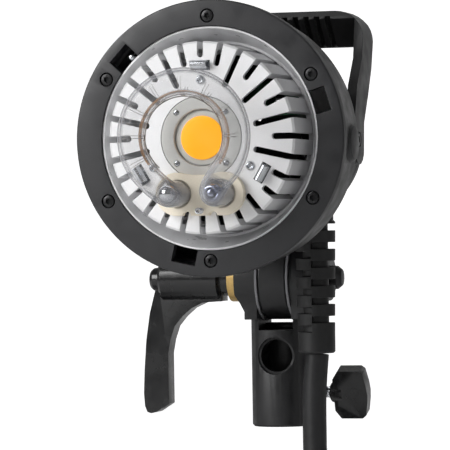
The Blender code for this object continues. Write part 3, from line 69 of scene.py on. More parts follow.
def plain_paint(name, colour, roughness):
    paint = bpy.data.materials.new(name)
    paint.use_nodes = True
    shader = paint.node_tree.nodes["Principled BSDF"]
    shader.inputs["Base Color"].default_value = (*colour, 1)
    shader.inputs["Roughness"].default_value = roughness
    return paint


FLOOR_HALF = 8.0
BACKDROP_Y, BACKDROP_BEND, BACKDROP_TOP = 4.0, 1.2, 7.0
backdrop_bend = [
    (BACKDROP_Y - BACKDROP_BEND + BACKDROP_BEND * sin(a), floor_z + BACKDROP_BEND * (1 - cos(a)))
    for a in [pi / 2 * i / 12 for i in range(13)]
]
backdrop_side = [(-FLOOR_HALF, floor_z)] + backdrop_bend + [(BACKDROP_Y, BACKDROP_TOP)]
backdrop_points = [(x, y, z) for y, z in backdrop_side for x in (-FLOOR_HALF, FLOOR_HALF)]
backdrop_faces = [(2 * i, 2 * i + 1, 2 * i + 3, 2 * i + 2) for i in range(len(backdrop_side) - 1)]
backdrop_mesh = bpy.data.meshes.new("studio_floor")
backdrop_mesh.from_pydata(backdrop_points, [], backdrop_faces)
backdrop_mesh.shade_smooth()
white_paper = plain_paint("white_paper", (0.93, 0.93, 0.93), 0.9)
PAPER_GLOW = 0.7
paper_tree = white_paper.node_tree
paper_tree.nodes["Principled BSDF"].inputs["Emission Color"].default_value = (1, 1, 1, 1)
paper_path = paper_tree.nodes.new("ShaderNodeLightPath")
paper_glow = paper_tree.nodes.new("ShaderNodeMapRange")
paper_glow.inputs["To Max"].default_value = PAPER_GLOW
paper_tree.links.new(paper_path.outputs["Is Camera Ray"], paper_glow.inputs["Value"])
paper_tree.links.new(paper_glow.outputs["Result"], paper_tree.nodes["Principled BSDF"].inputs["Emission Strength"])
backdrop_mesh.materials.append(white_paper)
put("studio_floor", backdrop_mesh)

AIR_LIGHT, AIR_SEEN = 0.17, 1.0
studio_air = bpy.data.worlds.new("studio_air")
studio_air.use_nodes = True
air_tree = studio_air.node_tree
air_tree.nodes["Background"].inputs["Color"].default_value = (1, 1, 1, 1)
air_path = air_tree.nodes.new("ShaderNodeLightPath")
air_strength = air_tree.nodes.new("ShaderNodeMapRange")
air_strength.inputs["To Min"].default_value = AIR_LIGHT
air_strength.inputs["To Max"].default_value = AIR_SEEN
air_tree.links.new(air_path.outputs["Is Camera Ray"], air_strength.inputs["Value"])
air_tree.links.new(air_strength.outputs["Result"], air_tree.nodes["Background"].inputs["Strength"])
bpy.context.scene.world = studio_air
bpy.context.scene.view_settings.view_transform = "Standard"


def softbox(name, place, target, width, height, watts):
    lamp = bpy.data.lights.new(name, "AREA")
    lamp.shape = "RECTANGLE"
    lamp.size, lamp.size_y = width, height
    lamp.energy = watts
    aim = (Vector(target) - Vector(place)).to_track_quat("-Z", "Y").to_euler()
    put(name, lamp, aim, place).visible_camera = False


LIGHT_TARGET = (0.0, -0.05, 0.11)
softbox("key_softbox", (-0.95, -1.15, 0.75), LIGHT_TARGET, 1.0, 0.9, 20)
softbox("fill_softbox", (1.5, -0.7, 0.5), LIGHT_TARGET, 0.5, 1.4, 0.7)
softbox("top_softbox", (0.1, 0.5, 1.6), LIGHT_TARGET, 1.2, 0.7, 4)
softbox("floor_wash", (0.0, 2.6, 1.6), (0.0, 3.4, floor_z), 3.5, 1.0, 12)

CAMERA_PLACE = (0.456, -1.727, 0.1027)
CAMERA_AIM = (-0.2706, 0.9627, 0.0)
CAMERA_LENS_MM, SENSOR_MM = 280, 36
CAMERA_ROLL_DEG = 0.9
camera_data = bpy.data.cameras.new("camera")
camera_data.lens = CAMERA_LENS_MM
camera_data.sensor_width = SENSOR_MM
camera_turn = Vector(CAMERA_AIM).to_track_quat("-Z", "Y").to_matrix()
camera_turn = camera_turn @ Matrix.Rotation(radians(-CAMERA_ROLL_DEG), 3, "Z")
camera = put("camera", camera_data, camera_turn.to_euler(), CAMERA_PLACE)
bpy.context.scene.camera = camera

# --- Power lead: a 12 mm rubber-jacketed cable, its tie and its plug -------------------------------
# It hangs straight out of the strain relief, turns along the floor and is wound into a coil of
# three and a half turns, two layers high. A strap ties the coil and a locking plug ends the lead.


def grained(
    name,
    colour,
    roughness,
    metallic=0.0,
    spread=0.12,
    grain=900.0,
    relief=0.06,
    rough_spread=0.10,
    wear=None,
    stretch=(1, 1, 1),
    coat=0.0,
):
    """A finish with uneven colour and gloss, a fine grain and, with wear, lighter handled edges."""
    made = bpy.data.materials.new(name)
    made.use_nodes = True
    tree = made.node_tree
    shader = tree.nodes["Principled BSDF"]
    shader.inputs["Metallic"].default_value = metallic
    shader.inputs["Coat Weight"].default_value = coat
    shader.inputs["Coat Roughness"].default_value = 0.15

    def node(kind, **settings):
        new = tree.nodes.new(kind)
        for key, value in settings.items():
            setattr(new, key, value)
        return new

    def noise(scale, detail, where):
        new = node("ShaderNodeTexNoise")
        new.inputs["Scale"].default_value = scale
        new.inputs["Detail"].default_value = detail
        tree.links.new(where, new.inputs["Vector"])
        return new.outputs["Fac"]

    def ranged(value, low, high):
        new = node("ShaderNodeMapRange")
        new.inputs["From Min"].default_value = 0.3
        new.inputs["From Max"].default_value = 0.7
        new.inputs["To Min"].default_value = low
        new.inputs["To Max"].default_value = high
        tree.links.new(value, new.inputs["Value"])
        return new.outputs["Result"]

    place = node("ShaderNodeTexCoord").outputs["Object"]
    stretched = node("ShaderNodeMapping")
    stretched.inputs["Scale"].default_value = stretch
    tree.links.new(place, stretched.inputs["Vector"])
    cloud = noise(45.0, 4.0, place)
    fine = noise(grain, 2.0, stretched.outputs["Vector"])

    tint = node("ShaderNodeMix", data_type="RGBA")
    tint.inputs["A"].default_value = (*[c * (1 - spread) for c in colour], 1)
    tint.inputs["B"].default_value = (*[min(1.0, c * (1 + spread)) for c in colour], 1)
    tree.links.new(ranged(cloud, 0, 1), tint.inputs["Factor"])
    surface = tint.outputs["Result"]
    speckle = node("ShaderNodeMix", data_type="RGBA", blend_type="MULTIPLY")
    speckle.inputs["Factor"].default_value = 1.0
    tree.links.new(surface, speckle.inputs["A"])
    tree.links.new(ranged(fine, 1 - spread / 2, 1 + spread / 2), speckle.inputs["B"])
    surface = speckle.outputs["Result"]
    if wear is not None:
        edge = node("ShaderNodeMapRange")
        edge.inputs["From Min"].default_value = 0.53
        edge.inputs["From Max"].default_value = 0.62
        tree.links.new(node("ShaderNodeNewGeometry").outputs["Pointiness"], edge.inputs["Value"])
        patchy = node("ShaderNodeMath", operation="MULTIPLY")
        tree.links.new(edge.outputs["Result"], patchy.inputs[0])
        tree.links.new(ranged(noise(160.0, 3.0, place), 0.1, 0.8), patchy.inputs[1])
        worn = node("ShaderNodeMix", data_type="RGBA")
        tree.links.new(patchy.outputs["Value"], worn.inputs["Factor"])
        tree.links.new(surface, worn.inputs["A"])
        worn.inputs["B"].default_value = (*wear, 1)
        surface = worn.outputs["Result"]
    tree.links.new(surface, shader.inputs["Base Color"])
    low, high = max(0.02, roughness - rough_spread), min(1.0, roughness + rough_spread)
    tree.links.new(ranged(noise(120.0, 5.0, place), low, high), shader.inputs["Roughness"])
    bump = node("ShaderNodeBump")
    bump.inputs["Strength"].default_value = relief
    bump.inputs["Distance"].default_value = 0.0004
    tree.links.new(fine, bump.inputs["Height"])
    tree.links.new(bump.outputs["Normal"], shader.inputs["Normal"])
    return made


LEAD_RADIUS = 0.006
LEAD_TURN_RADII = (0.066, 0.078)  # inner and outer turns, at the middle of the cable
LEAD_BEND_RADIUS = 0.060
LEAD_TAIL_LENGTH = 0.062
LEAD_GAP = 0.0003
PLUG_LOCK_RADIUS = 0.018

lead_top = Vector(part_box("power_lead")[1])
lead_x = lead_top.x - LEAD_RADIUS
lead_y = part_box("power_lead")[0][1] + LEAD_RADIUS
lead_run_z = floor_z + LEAD_RADIUS
upper_z = floor_z + 3 * LEAD_RADIUS
inner_turn, outer_turn = LEAD_TURN_RADII
coil_middle = (Vector(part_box("lead_coil")[0]) + Vector(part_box("lead_coil")[1])) / 2
bend_top_z = lead_run_z + LEAD_BEND_RADIUS
LEAD_SWAY = 0.0018  # how far the hanging stretch bows towards the stem
lead_points = []
for i in range(16):
    sway = LEAD_SWAY * sin(pi * min(1, i / 8) / 2) * min(1, (16 - i) / 3)
    lead_points.append((lead_x - sway, lead_y, lead_top.z + (bend_top_z - lead_top.z) * i / 16))
for i in range(17):
    angle = pi / 2 * i / 16
    ahead, drop = LEAD_BEND_RADIUS * (1 - cos(angle)), LEAD_BEND_RADIUS * sin(angle)
    lead_points.append((lead_x, lead_y + ahead, bend_top_z - drop))
run_start = lead_y + LEAD_BEND_RADIUS
lead_points += [(lead_x, run_start + (coil_middle.y - run_start) * i / 8, lead_run_z) for i in range(1, 8)]


def smooth_step(share):
    return share * share * (3 - 2 * share)


# Each stretch of the winding: start and end in turns, its radius at both ends and its height.
STEPS_PER_TURN = 48
CHANGE = 0.12  # the share of a turn in which the cable climbs to its next place
winding = [
    (0.0, 1.0, outer_turn, lead_run_z),
    (1.0, 2.0, inner_turn, lead_run_z),
    (2.0, 3.0, inner_turn, upper_z),
    (3.0, 3.5, outer_turn, upper_z),
]
radius, height = outer_turn, lead_run_z
for start, end, next_radius, next_height in winding:
    for i in range(int((end - start) * STEPS_PER_TURN)):
        turns = start + i / STEPS_PER_TURN
        share = smooth_step(min(1.0, (turns - start) / CHANGE))
        r = radius + (next_radius - radius) * share
        z = height + (next_height - height) * share
        a = 2 * pi * turns
        lead_points.append((coil_middle.x + r * cos(a), coil_middle.y + r * sin(a), z))
    radius, height = next_radius, next_height
tail_x = coil_middle.x - outer_turn
tail_start_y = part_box("lead_tail")[1][1]
tail_end_y = tail_start_y - LEAD_TAIL_LENGTH
plug_z = floor_z + PLUG_LOCK_RADIUS
lead_points.append((tail_x, coil_middle.y, upper_z))
for i in range(1, 4):
    lead_points.append((tail_x, coil_middle.y + (tail_start_y - coil_middle.y) * i / 4, upper_z))
for i in range(9):
    share = smooth_step(i / 8)
    y = tail_start_y + (tail_end_y - tail_start_y) * i / 8
    lead_points.append((tail_x, y, upper_z + (plug_z - upper_z) * share))

lead_curve = bpy.data.curves.new("lead_jacket", "CURVE")
lead_curve.dimensions = "3D"
lead_curve.bevel_depth = LEAD_RADIUS
lead_curve.bevel_resolution = 5
lead_curve.use_fill_caps = True
lead_line = lead_curve.splines.new("POLY")
lead_line.points.add(len(lead_points) - 1)
for point, place in zip(lead_line.points, lead_points):
    point.co = (*place, 1)
lead_line.use_smooth = True
jacket_rubber = grained(
    "jacket_rubber", (0.010, 0.010, 0.011), 0.42, spread=0.25, grain=700.0, relief=0.10, rough_spread=0.12
)
lead_curve.materials.append(jacket_rubber)
lead = put("lead_jacket", lead_curve)
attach(lead, "stand_bracket")
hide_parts("power_lead", "lead_coil", "lead_tail")


def joined(name, meshes, material=None):
    """One object from several bmesh shapes, each already in place."""
    whole = bmesh.new()
    for shape in meshes:
        part = bpy.data.meshes.new(name)
        shape.to_mesh(part)
        whole.from_mesh(part)
        bpy.data.meshes.remove(part)
        shape.free()
    mesh = bpy.data.meshes.new(name)
    whole.to_mesh(mesh)
    whole.free()
    if material is not None:
        mesh.materials.append(material)
    return put(name, mesh)


def spun_shape(profile, steps, turn=Matrix.Identity(4)):
    """A closed turned shape about z: the profile holds (radius, z) and runs down its outer side."""
    shape = bmesh.new()
    rings = []
    for radius, z in profile:
        if radius == 0:
            rings.append([shape.verts.new((0, 0, z))])
            continue
        angles = [2 * pi * i / steps for i in range(steps)]
        rings.append([shape.verts.new((radius * cos(a), radius * sin(a), z)) for a in angles])
    closed = not (profile[0][0] == 0 and profile[-1][0] == 0)
    pairs = list(zip(rings, rings[1:])) + ([(rings[-1], rings[0])] if closed else [])
    for upper, lower in pairs:
        for i in range(steps):
            j = (i + 1) % steps
            corners = [upper[i % len(upper)], lower[i % len(lower)], lower[j % len(lower)], upper[j % len(upper)]]
            kept = [c for n, c in enumerate(corners) if c not in corners[:n]]
            if len(kept) > 2:
                shape.faces.new(kept)
    bmesh.ops.recalc_face_normals(shape, faces=shape.faces)
    bmesh.ops.transform(shape, matrix=turn, verts=shape.verts)
    return shape


def smooth(obj, sharp_deg=32):
    obj.data.shade_smooth()
    obj.data.set_sharp_from_angle(angle=radians(sharp_deg))
    return obj


TIE_WIDTH, TIE_THICK = 0.020, 0.0013
TIE_CLEAR = 0.0002
tie_x = (inner_turn + outer_turn) / 2
tie_half_x = (outer_turn - inner_turn) / 2 + LEAD_RADIUS + TIE_CLEAR
tie_half_z = 2 * LEAD_RADIUS + TIE_CLEAR
tie_outline = []
for corner_x, corner_z, first in ((1, 1, 0), (-1, 1, 90), (-1, -1, 180), (1, -1, 270)):
    for i in range(7):
        a = radians(first + 15 * i)
        middle_x = corner_x * (tie_half_x - LEAD_RADIUS)
        middle_z = corner_z * (tie_half_z - LEAD_RADIUS)
        tie_outline.append((middle_x, middle_z, cos(a), sin(a)))
tie_shape = bmesh.new()
tie_rows = []
for middle_x, middle_z, out_x, out_z in tie_outline:
    row = []
    for reach in (LEAD_RADIUS, LEAD_RADIUS + TIE_THICK):
        for y in (-TIE_WIDTH / 2, TIE_WIDTH / 2):
            z = max(middle_z + reach * out_z, -tie_half_z + TIE_CLEAR)
            row.append(tie_shape.verts.new((tie_x + middle_x + reach * out_x, y, z)))
    tie_rows.append(row)
for a, b in zip(tie_rows, tie_rows[1:] + tie_rows[:1]):
    for p, q in ((0, 1), (1, 3), (3, 2), (2, 0)):
        tie_shape.faces.new((a[p], a[q], b[q], b[p]))
bmesh.ops.recalc_face_normals(tie_shape, faces=tie_shape.faces)
TIE_DEG = 62
tie_turn = Matrix.Translation((coil_middle.x, coil_middle.y, floor_z + 2 * LEAD_RADIUS))
tie_turn = tie_turn @ Matrix.Rotation(radians(TIE_DEG), 4, "Z")
bmesh.ops.transform(tie_shape, matrix=tie_turn, verts=tie_shape.verts)
tie_cloth = grained(
    "tie_webbing", (0.03, 0.03, 0.032), 0.85, spread=0.35, grain=1400.0, relief=0.5, stretch=(1, 0.3, 1)
)
lead_tie = smooth(joined("lead_tie", [tie_shape], tie_cloth))
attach(lead_tie, "stand_bracket")

PLUG_RADIUS, PLUG_LENGTH, BOOT_LENGTH = 0.016, 0.050, 0.026
LOCK_LENGTH, LOCK_STEP = 0.020, 0.004
PLUG_RIBS = 7
plug_turn = Matrix.Translation((tail_x, tail_end_y, plug_z)) @ Matrix.Rotation(pi / 2, 4, "X")
plug_end = BOOT_LENGTH + PLUG_LENGTH
shank_radius = PLUG_RADIUS - 0.003
boot = [(LEAD_RADIUS + 0.002 + (shank_radius - LEAD_RADIUS - 0.002) * i / PLUG_RIBS, i) for i in range(PLUG_RIBS)]
plug_profile = [(0, plug_end - 0.004), (shank_radius - 0.003, plug_end - 0.004), (shank_radius - 0.003, plug_end)]
plug_profile += [
    (shank_radius, plug_end),
    (shank_radius, plug_end - LOCK_LENGTH + 0.002),
    (PLUG_RADIUS - 0.001, plug_end - LOCK_LENGTH + 0.0006),
    (PLUG_RADIUS, plug_end - LOCK_LENGTH - 0.0006),
    (PLUG_RADIUS, BOOT_LENGTH + 0.004),
    (PLUG_RADIUS - 0.0012, BOOT_LENGTH + 0.0018),
    (shank_radius, BOOT_LENGTH),
]
rib_pitch = BOOT_LENGTH / PLUG_RIBS
for radius, number in reversed(boot):
    z = number * rib_pitch + LEAD_GAP
    plug_profile += [(radius + 0.0008, z + rib_pitch * 0.80), (radius + 0.0008, z + rib_pitch * 0.35)]
    plug_profile += [(radius - 0.0006, z + rib_pitch * 0.25), (radius - 0.0006, z)]
plug_profile.append((0, LEAD_GAP))
plug_plastic = grained("plug_plastic", (0.022, 0.022, 0.024), 0.5, spread=0.15, relief=0.12, wear=(0.10, 0.10, 0.10))
plug = smooth(joined("plug_shell", [spun_shape(plug_profile, 64, plug_turn)], plug_plastic))
lock_inner = shank_radius + 0.0004
lock_profile = [(PLUG_LOCK_RADIUS - 0.0006, plug_end), (PLUG_LOCK_RADIUS, plug_end - 0.0008)]
for i in range(5):
    z = plug_end - 0.003 - i * 0.0024
    lock_profile += [(PLUG_LOCK_RADIUS, z), (PLUG_LOCK_RADIUS - 0.0006, z - 0.0005)]
    lock_profile += [(PLUG_LOCK_RADIUS - 0.0006, z - 0.0011), (PLUG_LOCK_RADIUS, z - 0.0016)]
lock_profile += [
    (PLUG_LOCK_RADIUS - 0.0006, plug_end - LOCK_LENGTH + LOCK_STEP),
    (lock_inner, plug_end - LOCK_LENGTH + LOCK_STEP),
    (lock_inner, plug_end),
]
bright_steel = grained(
    "bright_steel", (0.60, 0.62, 0.65), 0.22, metallic=1.0, spread=0.06, grain=500.0, relief=0.03
)
lock = smooth(joined("plug_locking_ring", [spun_shape(lock_profile, 72, plug_turn)], bright_steel))
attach(plug, "stand_bracket")
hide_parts("plug_body")
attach(lock, "lock_ring")
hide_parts("plug_lock_ring")

# --- Bayonet ring and its six screws ---------------------------------------------------------------
# The ring is turned from aluminium bar, milled with three lug notches and anodised satin black.
# Six black socket-head screws hold it to the housing, sunk just below its face.

LIGHT_FRAME = Matrix.Translation((LIGHT_X, RING_FACE_Y, LIGHT_Z)) @ Matrix.Rotation(pi / 2, 4, "X")
RING_RADIUS = ring_high.x - LIGHT_X
RING_OPENING, RING_THICK, RING_EDGE = 0.0533, 0.0055, 0.0009
NOTCH_RADIUS, NOTCH_WIDTH = 0.061, 0.012
NOTCH_ANGLES = (17, 137, 257)
SCREW_CIRCLE, SCREW_SINK = 0.0582, 0.0004
SCREW_ANGLES = tuple(30 + 60 * i for i in range(6))
SCREW_HEAD, SCREW_HEAD_HEIGHT, SCREW_SHANK, SCREW_LENGTH = 0.0028, 0.0024, 0.0016, 0.0125
GAP = 0.0003


def arc(x, y, radius, start_deg, end_deg, count):
    angles = [radians(start_deg + (end_deg - start_deg) * i / count) for i in range(count + 1)]
    return [(x + radius * cos(a), y + radius * sin(a)) for a in angles]


def circle(x, y, radius, count=32):
    return arc(x, y, radius, 0, 360, count)[:-1]


def rectangle(x_low, x_high, y_low, y_high):
    return [(x_low, y_low), (x_high, y_low), (x_high, y_high), (x_low, y_high)]


def swung(points, angle_deg):
    c, s = cos(radians(angle_deg)), sin(radians(angle_deg))
    return [(x * c - y * s, x * s + y * c) for x, y in points]


def polar(radius, angle_deg):
    return radius * cos(radians(angle_deg)), radius * sin(radians(angle_deg))


def raised(outlines, low, high, turn=LIGHT_FRAME):
    """Flat outlines filled and raised from low to high; an outline inside another is a hole."""
    curve = bpy.data.curves.new("outline", "CURVE")
    curve.dimensions = "2D"
    curve.fill_mode = "BOTH"
    curve.extrude = (high - low) / 2
    for outline in outlines:
        spline = curve.splines.new("POLY")
        spline.points.add(len(outline) - 1)
        for point, (x, y) in zip(spline.points, outline):
            point.co = (x, y, 0, 1)
        spline.use_cyclic_u = True
    guide = put("outline", curve)
    graph = bpy.context.evaluated_depsgraph_get()
    mesh = bpy.data.meshes.new_from_object(guide.evaluated_get(graph))
    bpy.data.objects.remove(guide)
    shape = bmesh.new()
    shape.from_mesh(mesh)
    bpy.data.meshes.remove(mesh)
    bmesh.ops.remove_doubles(shape, verts=shape.verts, dist=1e-6)
    bmesh.ops.dissolve_limit(shape, angle_limit=0.005, verts=shape.verts, edges=shape.edges)
    bmesh.ops.recalc_face_normals(shape, faces=shape.faces)
    bmesh.ops.transform(shape, matrix=turn @ Matrix.Translation((0, 0, (low + high) / 2)), verts=shape.verts)
    return shape


def worked(obj, operation, tools):
    """Cuts, joins or trims a piece with other shapes, one after the other, and keeps only the result."""
    for number, shape in enumerate(tools):
        tool = joined(f"{obj.name}_tool_{number}", [shape])
        modifier = obj.modifiers.new("work", "BOOLEAN")
        modifier.operation = operation
        modifier.object = tool
        graph = bpy.context.evaluated_depsgraph_get()
        result = bpy.data.meshes.new_from_object(obj.evaluated_get(graph))
        obj.modifiers.clear()
        obj.data = result
        bpy.data.objects.remove(tool)
    return obj


def eased(obj, width, segments=2, limit_deg=35):
    """Rounds the piece's sharp edges, as tumbling or a mould's radius leaves them."""
    modifier = obj.modifiers.new("edges", "BEVEL")
    modifier.width = width
    modifier.segments = segments
    modifier.limit_method = "ANGLE"
    modifier.angle_limit = radians(limit_deg)
    modifier.harden_normals = False
    return obj


def shown(obj, body, slot, *nodes):
    """Makes the piece stand for its CAD nodes on the body that carries them."""
    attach(obj, body)
    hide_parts(*nodes)
    return obj


ring_anodised = grained(
    "satin_anodised", (0.022, 0.022, 0.024), 0.40, spread=0.05, grain=1500.0, relief=0.04, wear=(0.045, 0.045, 0.048)
)
ring_profile = (
    [(RING_OPENING + RING_EDGE / 3, 0)]
    + [(RING_RADIUS - RING_EDGE + RING_EDGE * sin(a), -RING_EDGE + RING_EDGE * cos(a)) for a in (0, pi / 6, pi / 3)]
    + [(RING_RADIUS, -RING_EDGE), (RING_RADIUS, -RING_THICK)]
    + [(RING_OPENING, -RING_THICK), (RING_OPENING, -RING_EDGE / 3)]
)
ring = joined("bayonet_ring_face", [spun_shape(ring_profile, 192, LIGHT_FRAME)], ring_anodised)
notch = rectangle(RING_OPENING - 0.004, NOTCH_RADIUS, -NOTCH_WIDTH / 2, NOTCH_WIDTH / 2)
screw_places = [polar(SCREW_CIRCLE, angle) for angle in SCREW_ANGLES]
worked(
    ring,
    "DIFFERENCE",
    [
        raised([swung(notch, angle) for angle in NOTCH_ANGLES], -RING_THICK - 0.001, 0.001),
        raised([circle(x, y, SCREW_HEAD + 2 * GAP, 33) for x, y in screw_places], -0.0031, 0.001),
        raised([circle(x, y, SCREW_SHANK + GAP, 19) for x, y in screw_places], -RING_THICK - 0.001, -0.003),
    ],
)
shown(smooth(ring), "head", "black_ring", "bayonet_ring")


def socket_screw(name, head_radius, head_height, shank_radius, length, turn, material):
    """A socket-head screw along -z with a rounded head edge and a hexagon socket."""
    edge = head_radius * 0.12
    key, depth = head_radius * 0.52, head_height * 0.6
    profile = [
        (0, 0),
        (head_radius - edge, 0),
        (head_radius - edge * 0.3, -edge * 0.3),
        (head_radius, -edge),
        (head_radius, -head_height),
        (shank_radius, -head_height),
        (shank_radius, -length),
        (0, -length),
    ]
    screw = joined(name, [spun_shape(profile, 36, turn)], material)
    hexagon = [polar(key, 60 * i + 15) for i in range(6)]
    worked(screw, "DIFFERENCE", [raised([hexagon], -depth, 0.001, turn)])
    return smooth(screw)


black_oxide = grained(
    "black_oxide_steel", (0.018, 0.018, 0.019), 0.32, metallic=0.6, spread=0.2, relief=0.03, wear=(0.12, 0.12, 0.12)
)
for number, (x, y) in enumerate(screw_places, 1):
    seat = LIGHT_FRAME @ Matrix.Translation((x, y, -SCREW_SINK)) @ Matrix.Rotation(number * 1.1, 4, "Z")
    screw = socket_screw(
        f"ring_cap_screw_{number}", SCREW_HEAD, SCREW_HEAD_HEIGHT, SCREW_SHANK, SCREW_LENGTH, seat, black_oxide
    )
    shown(screw, "head", "screw_black", f"ring_screw_{number}")

# --- Front housing: moulded black shell behind the ring ---------------------------------------------
# A glass-filled nylon moulding with a stepped collar, a tapered shoulder and a thumb pad on its
# right side. The ring's screws go into bosses inside it, and the release slider runs in a slot.

FRONT_RADIUS, FRONT_WALL = 0.0625, 0.0025
FRONT_START, COLLAR_LENGTH, FRONT_LENGTH, SHOULDER_LENGTH = -0.0058, 0.006, 0.0292, 0.0155
COLLAR_RADIUS, LUG_ROOM = 0.0638, 0.0002
REAR_RADIUS, REAR_WALL, SPIGOT_LENGTH = 0.047, 0.0025, 0.006
BOSS_RADIUS, BOSS_LENGTH = 0.0034, 0.0122
CATCH_DEG, SLOT_WIDTH = 134, 0.0038
PAD_RADIUS, PAD_PROUD, PAD_DROP = 0.0095, 0.0016, 0.003

collar_end = FRONT_START - COLLAR_LENGTH
front_end = collar_end - FRONT_LENGTH
shoulder_end = front_end - SHOULDER_LENGTH
rear_start = shoulder_end - GAP
spigot_radius = REAR_RADIUS - REAR_WALL / 2
drum_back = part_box("heat_sink_drum")[1][1]
drum_back = RING_FACE_Y - drum_back
seat_z = drum_back - GAP
front_inner = FRONT_RADIUS - FRONT_WALL
collar_inner = NOTCH_RADIUS + LUG_ROOM
front_profile = [
    (FRONT_RADIUS - 0.0003, FRONT_START),
    (FRONT_RADIUS, FRONT_START - 0.0003),
    (FRONT_RADIUS, FRONT_START - 0.0011),
    (COLLAR_RADIUS - 0.0003, FRONT_START - 0.0016),
    (COLLAR_RADIUS, FRONT_START - 0.0021),
    (COLLAR_RADIUS, collar_end + 0.0003),
    (COLLAR_RADIUS - 0.0003, collar_end - 0.0001),
    (FRONT_RADIUS + 0.0001, collar_end - 0.0006),
    (FRONT_RADIUS, collar_end - 0.0010),
    (FRONT_RADIUS, front_end),
    (FRONT_RADIUS - 0.0008, front_end - 0.0035),
    (FRONT_RADIUS - 0.0035, front_end - 0.0085),
    (REAR_RADIUS + 0.0045, shoulder_end + 0.0006),
    (REAR_RADIUS + 0.0035, shoulder_end),
    (spigot_radius + GAP, shoulder_end),
    (spigot_radius + GAP, rear_start + SPIGOT_LENGTH + GAP),
    (0.054, seat_z - 0.003),
    (0.054, seat_z),
    (front_inner, seat_z),
    (front_inner, collar_end),
    (collar_inner, collar_end + 0.0012),
    (collar_inner, FRONT_START),
]
moulded_black = grained(
    "moulded_black", (0.020, 0.020, 0.0215), 0.42, spread=0.06, grain=1300.0, relief=0.16, wear=(0.07, 0.07, 0.075)
)
front = joined("front_shell", [spun_shape(front_profile, 180, LIGHT_FRAME)], moulded_black)
pad_profile = [
    (0, FRONT_RADIUS + PAD_PROUD),
    (PAD_RADIUS - 0.0035, FRONT_RADIUS + PAD_PROUD),
    (PAD_RADIUS - 0.0015, FRONT_RADIUS + PAD_PROUD - 0.0005),
    (PAD_RADIUS, FRONT_RADIUS - 0.001),
    (PAD_RADIUS, front_inner - 0.0002),
    (0, front_inner - 0.0002),
]
pad_z = (collar_end + front_end) / 2 - 0.006
pad_turn = LIGHT_FRAME @ Matrix.Translation((0, -PAD_DROP, pad_z)) @ Matrix.Rotation(pi / 2, 4, "Y")
bosses = [circle(x, y, BOSS_RADIUS, 26) for x, y in screw_places]
worked(front, "UNION", [raised(bosses, FRONT_START - BOSS_LENGTH, FRONT_START), spun_shape(pad_profile, 40, pad_turn)])
boss_holes = [circle(x, y, SCREW_SHANK + GAP, 18) for x, y in screw_places]
catch_turn = LIGHT_FRAME @ Matrix.Rotation(radians(CATCH_DEG), 4, "Z")
slot_outline = rectangle(front_inner - 0.002, COLLAR_RADIUS + 0.002, -SLOT_WIDTH / 2, SLOT_WIDTH / 2)
worked(
    front,
    "DIFFERENCE",
    [
        raised(boss_holes, -SCREW_SINK - SCREW_LENGTH - GAP, FRONT_START + 0.001),
        raised([slot_outline], -0.0326, -0.0204, catch_turn),
    ],
)
shown(smooth(front), "head", "black_case", "front_housing")

# --- Release catch: locking pin and its slider -------------------------------------------------------
# A bright steel pin stands in one notch and locks the accessory's lug. The ribbed slider on the
# housing's side draws it back against its spring.

SLIDER_WIDTH, SLIDER_START, SLIDER_LENGTH, SLIDER_PROUD = 0.006, 0.018, 0.009, 0.0028
PIN_RADIUS, PIN_CIRCLE, PIN_TIP, PIN_LENGTH = 0.0015, 0.0549, -0.001, 0.0265
RUNNING_GAP = 0.0004
pin_turn = LIGHT_FRAME @ Matrix.Translation((*polar(PIN_CIRCLE, CATCH_DEG), 0))
pin_profile = [
    (0, PIN_TIP),
    (PIN_RADIUS * 0.55, PIN_TIP),
    (PIN_RADIUS * 0.9, PIN_TIP - 0.0004),
    (PIN_RADIUS, PIN_TIP - 0.0010),
    (PIN_RADIUS, PIN_TIP - PIN_LENGTH),
    (0, PIN_TIP - PIN_LENGTH),
]
pin = smooth(joined("locking_pin", [spun_shape(pin_profile, 32, pin_turn)], bright_steel), 50)
shown(pin, "release_catch", "steel", "lock_pin")
slider_end = SLIDER_START + SLIDER_LENGTH
slider_low = FRONT_RADIUS + RUNNING_GAP
slider_high = FRONT_RADIUS + SLIDER_PROUD
slider_plate = rectangle(slider_low, slider_high, -SLIDER_WIDTH / 2, SLIDER_WIDTH / 2)
slider_neck = rectangle(front_inner - 0.002, slider_low + 0.001, -SLIDER_WIDTH / 4, SLIDER_WIDTH / 4)
tongue_low, tongue_high = PIN_CIRCLE - PIN_RADIUS - 0.0008, front_inner - RUNNING_GAP - 0.0006
slider_tongue = rectangle(tongue_low, tongue_high, -SLIDER_WIDTH / 2, SLIDER_WIDTH / 2)
slider = joined("catch_slider", [raised([slider_plate], -slider_end, -SLIDER_START, catch_turn)], moulded_black)
worked(
    slider,
    "UNION",
    [
        raised([slider_neck], -slider_end + 0.003, -SLIDER_START - 0.003, catch_turn),
        raised([slider_tongue], -slider_end + 0.001, -SLIDER_START - 0.002, catch_turn),
    ],
)
grip = rectangle(slider_high - 0.0006, slider_high + 0.001, -SLIDER_WIDTH, SLIDER_WIDTH)
grooves = [raised([grip], -SLIDER_START - 0.0022 - i * 0.0016, -SLIDER_START - 0.0014 - i * 0.0016, catch_turn) for i in range(4)]
pin_room = [(PIN_RADIUS + GAP, 0), (PIN_RADIUS + GAP, -0.04), (0, -0.04)]
worked(slider, "DIFFERENCE", grooves + [spun_shape([(0, 0)] + pin_room, 30, pin_turn)])
shown(smooth(eased(slider, 0.0002)), "release_catch", "black_case", "release_slider")

# --- Reflector cone ----------------------------------------------------------------------------------
# Spun from thin sheet aluminium and etched satin, it fills the space between the ring's mouth and
# the drum, and throws the tube's stray light forward.

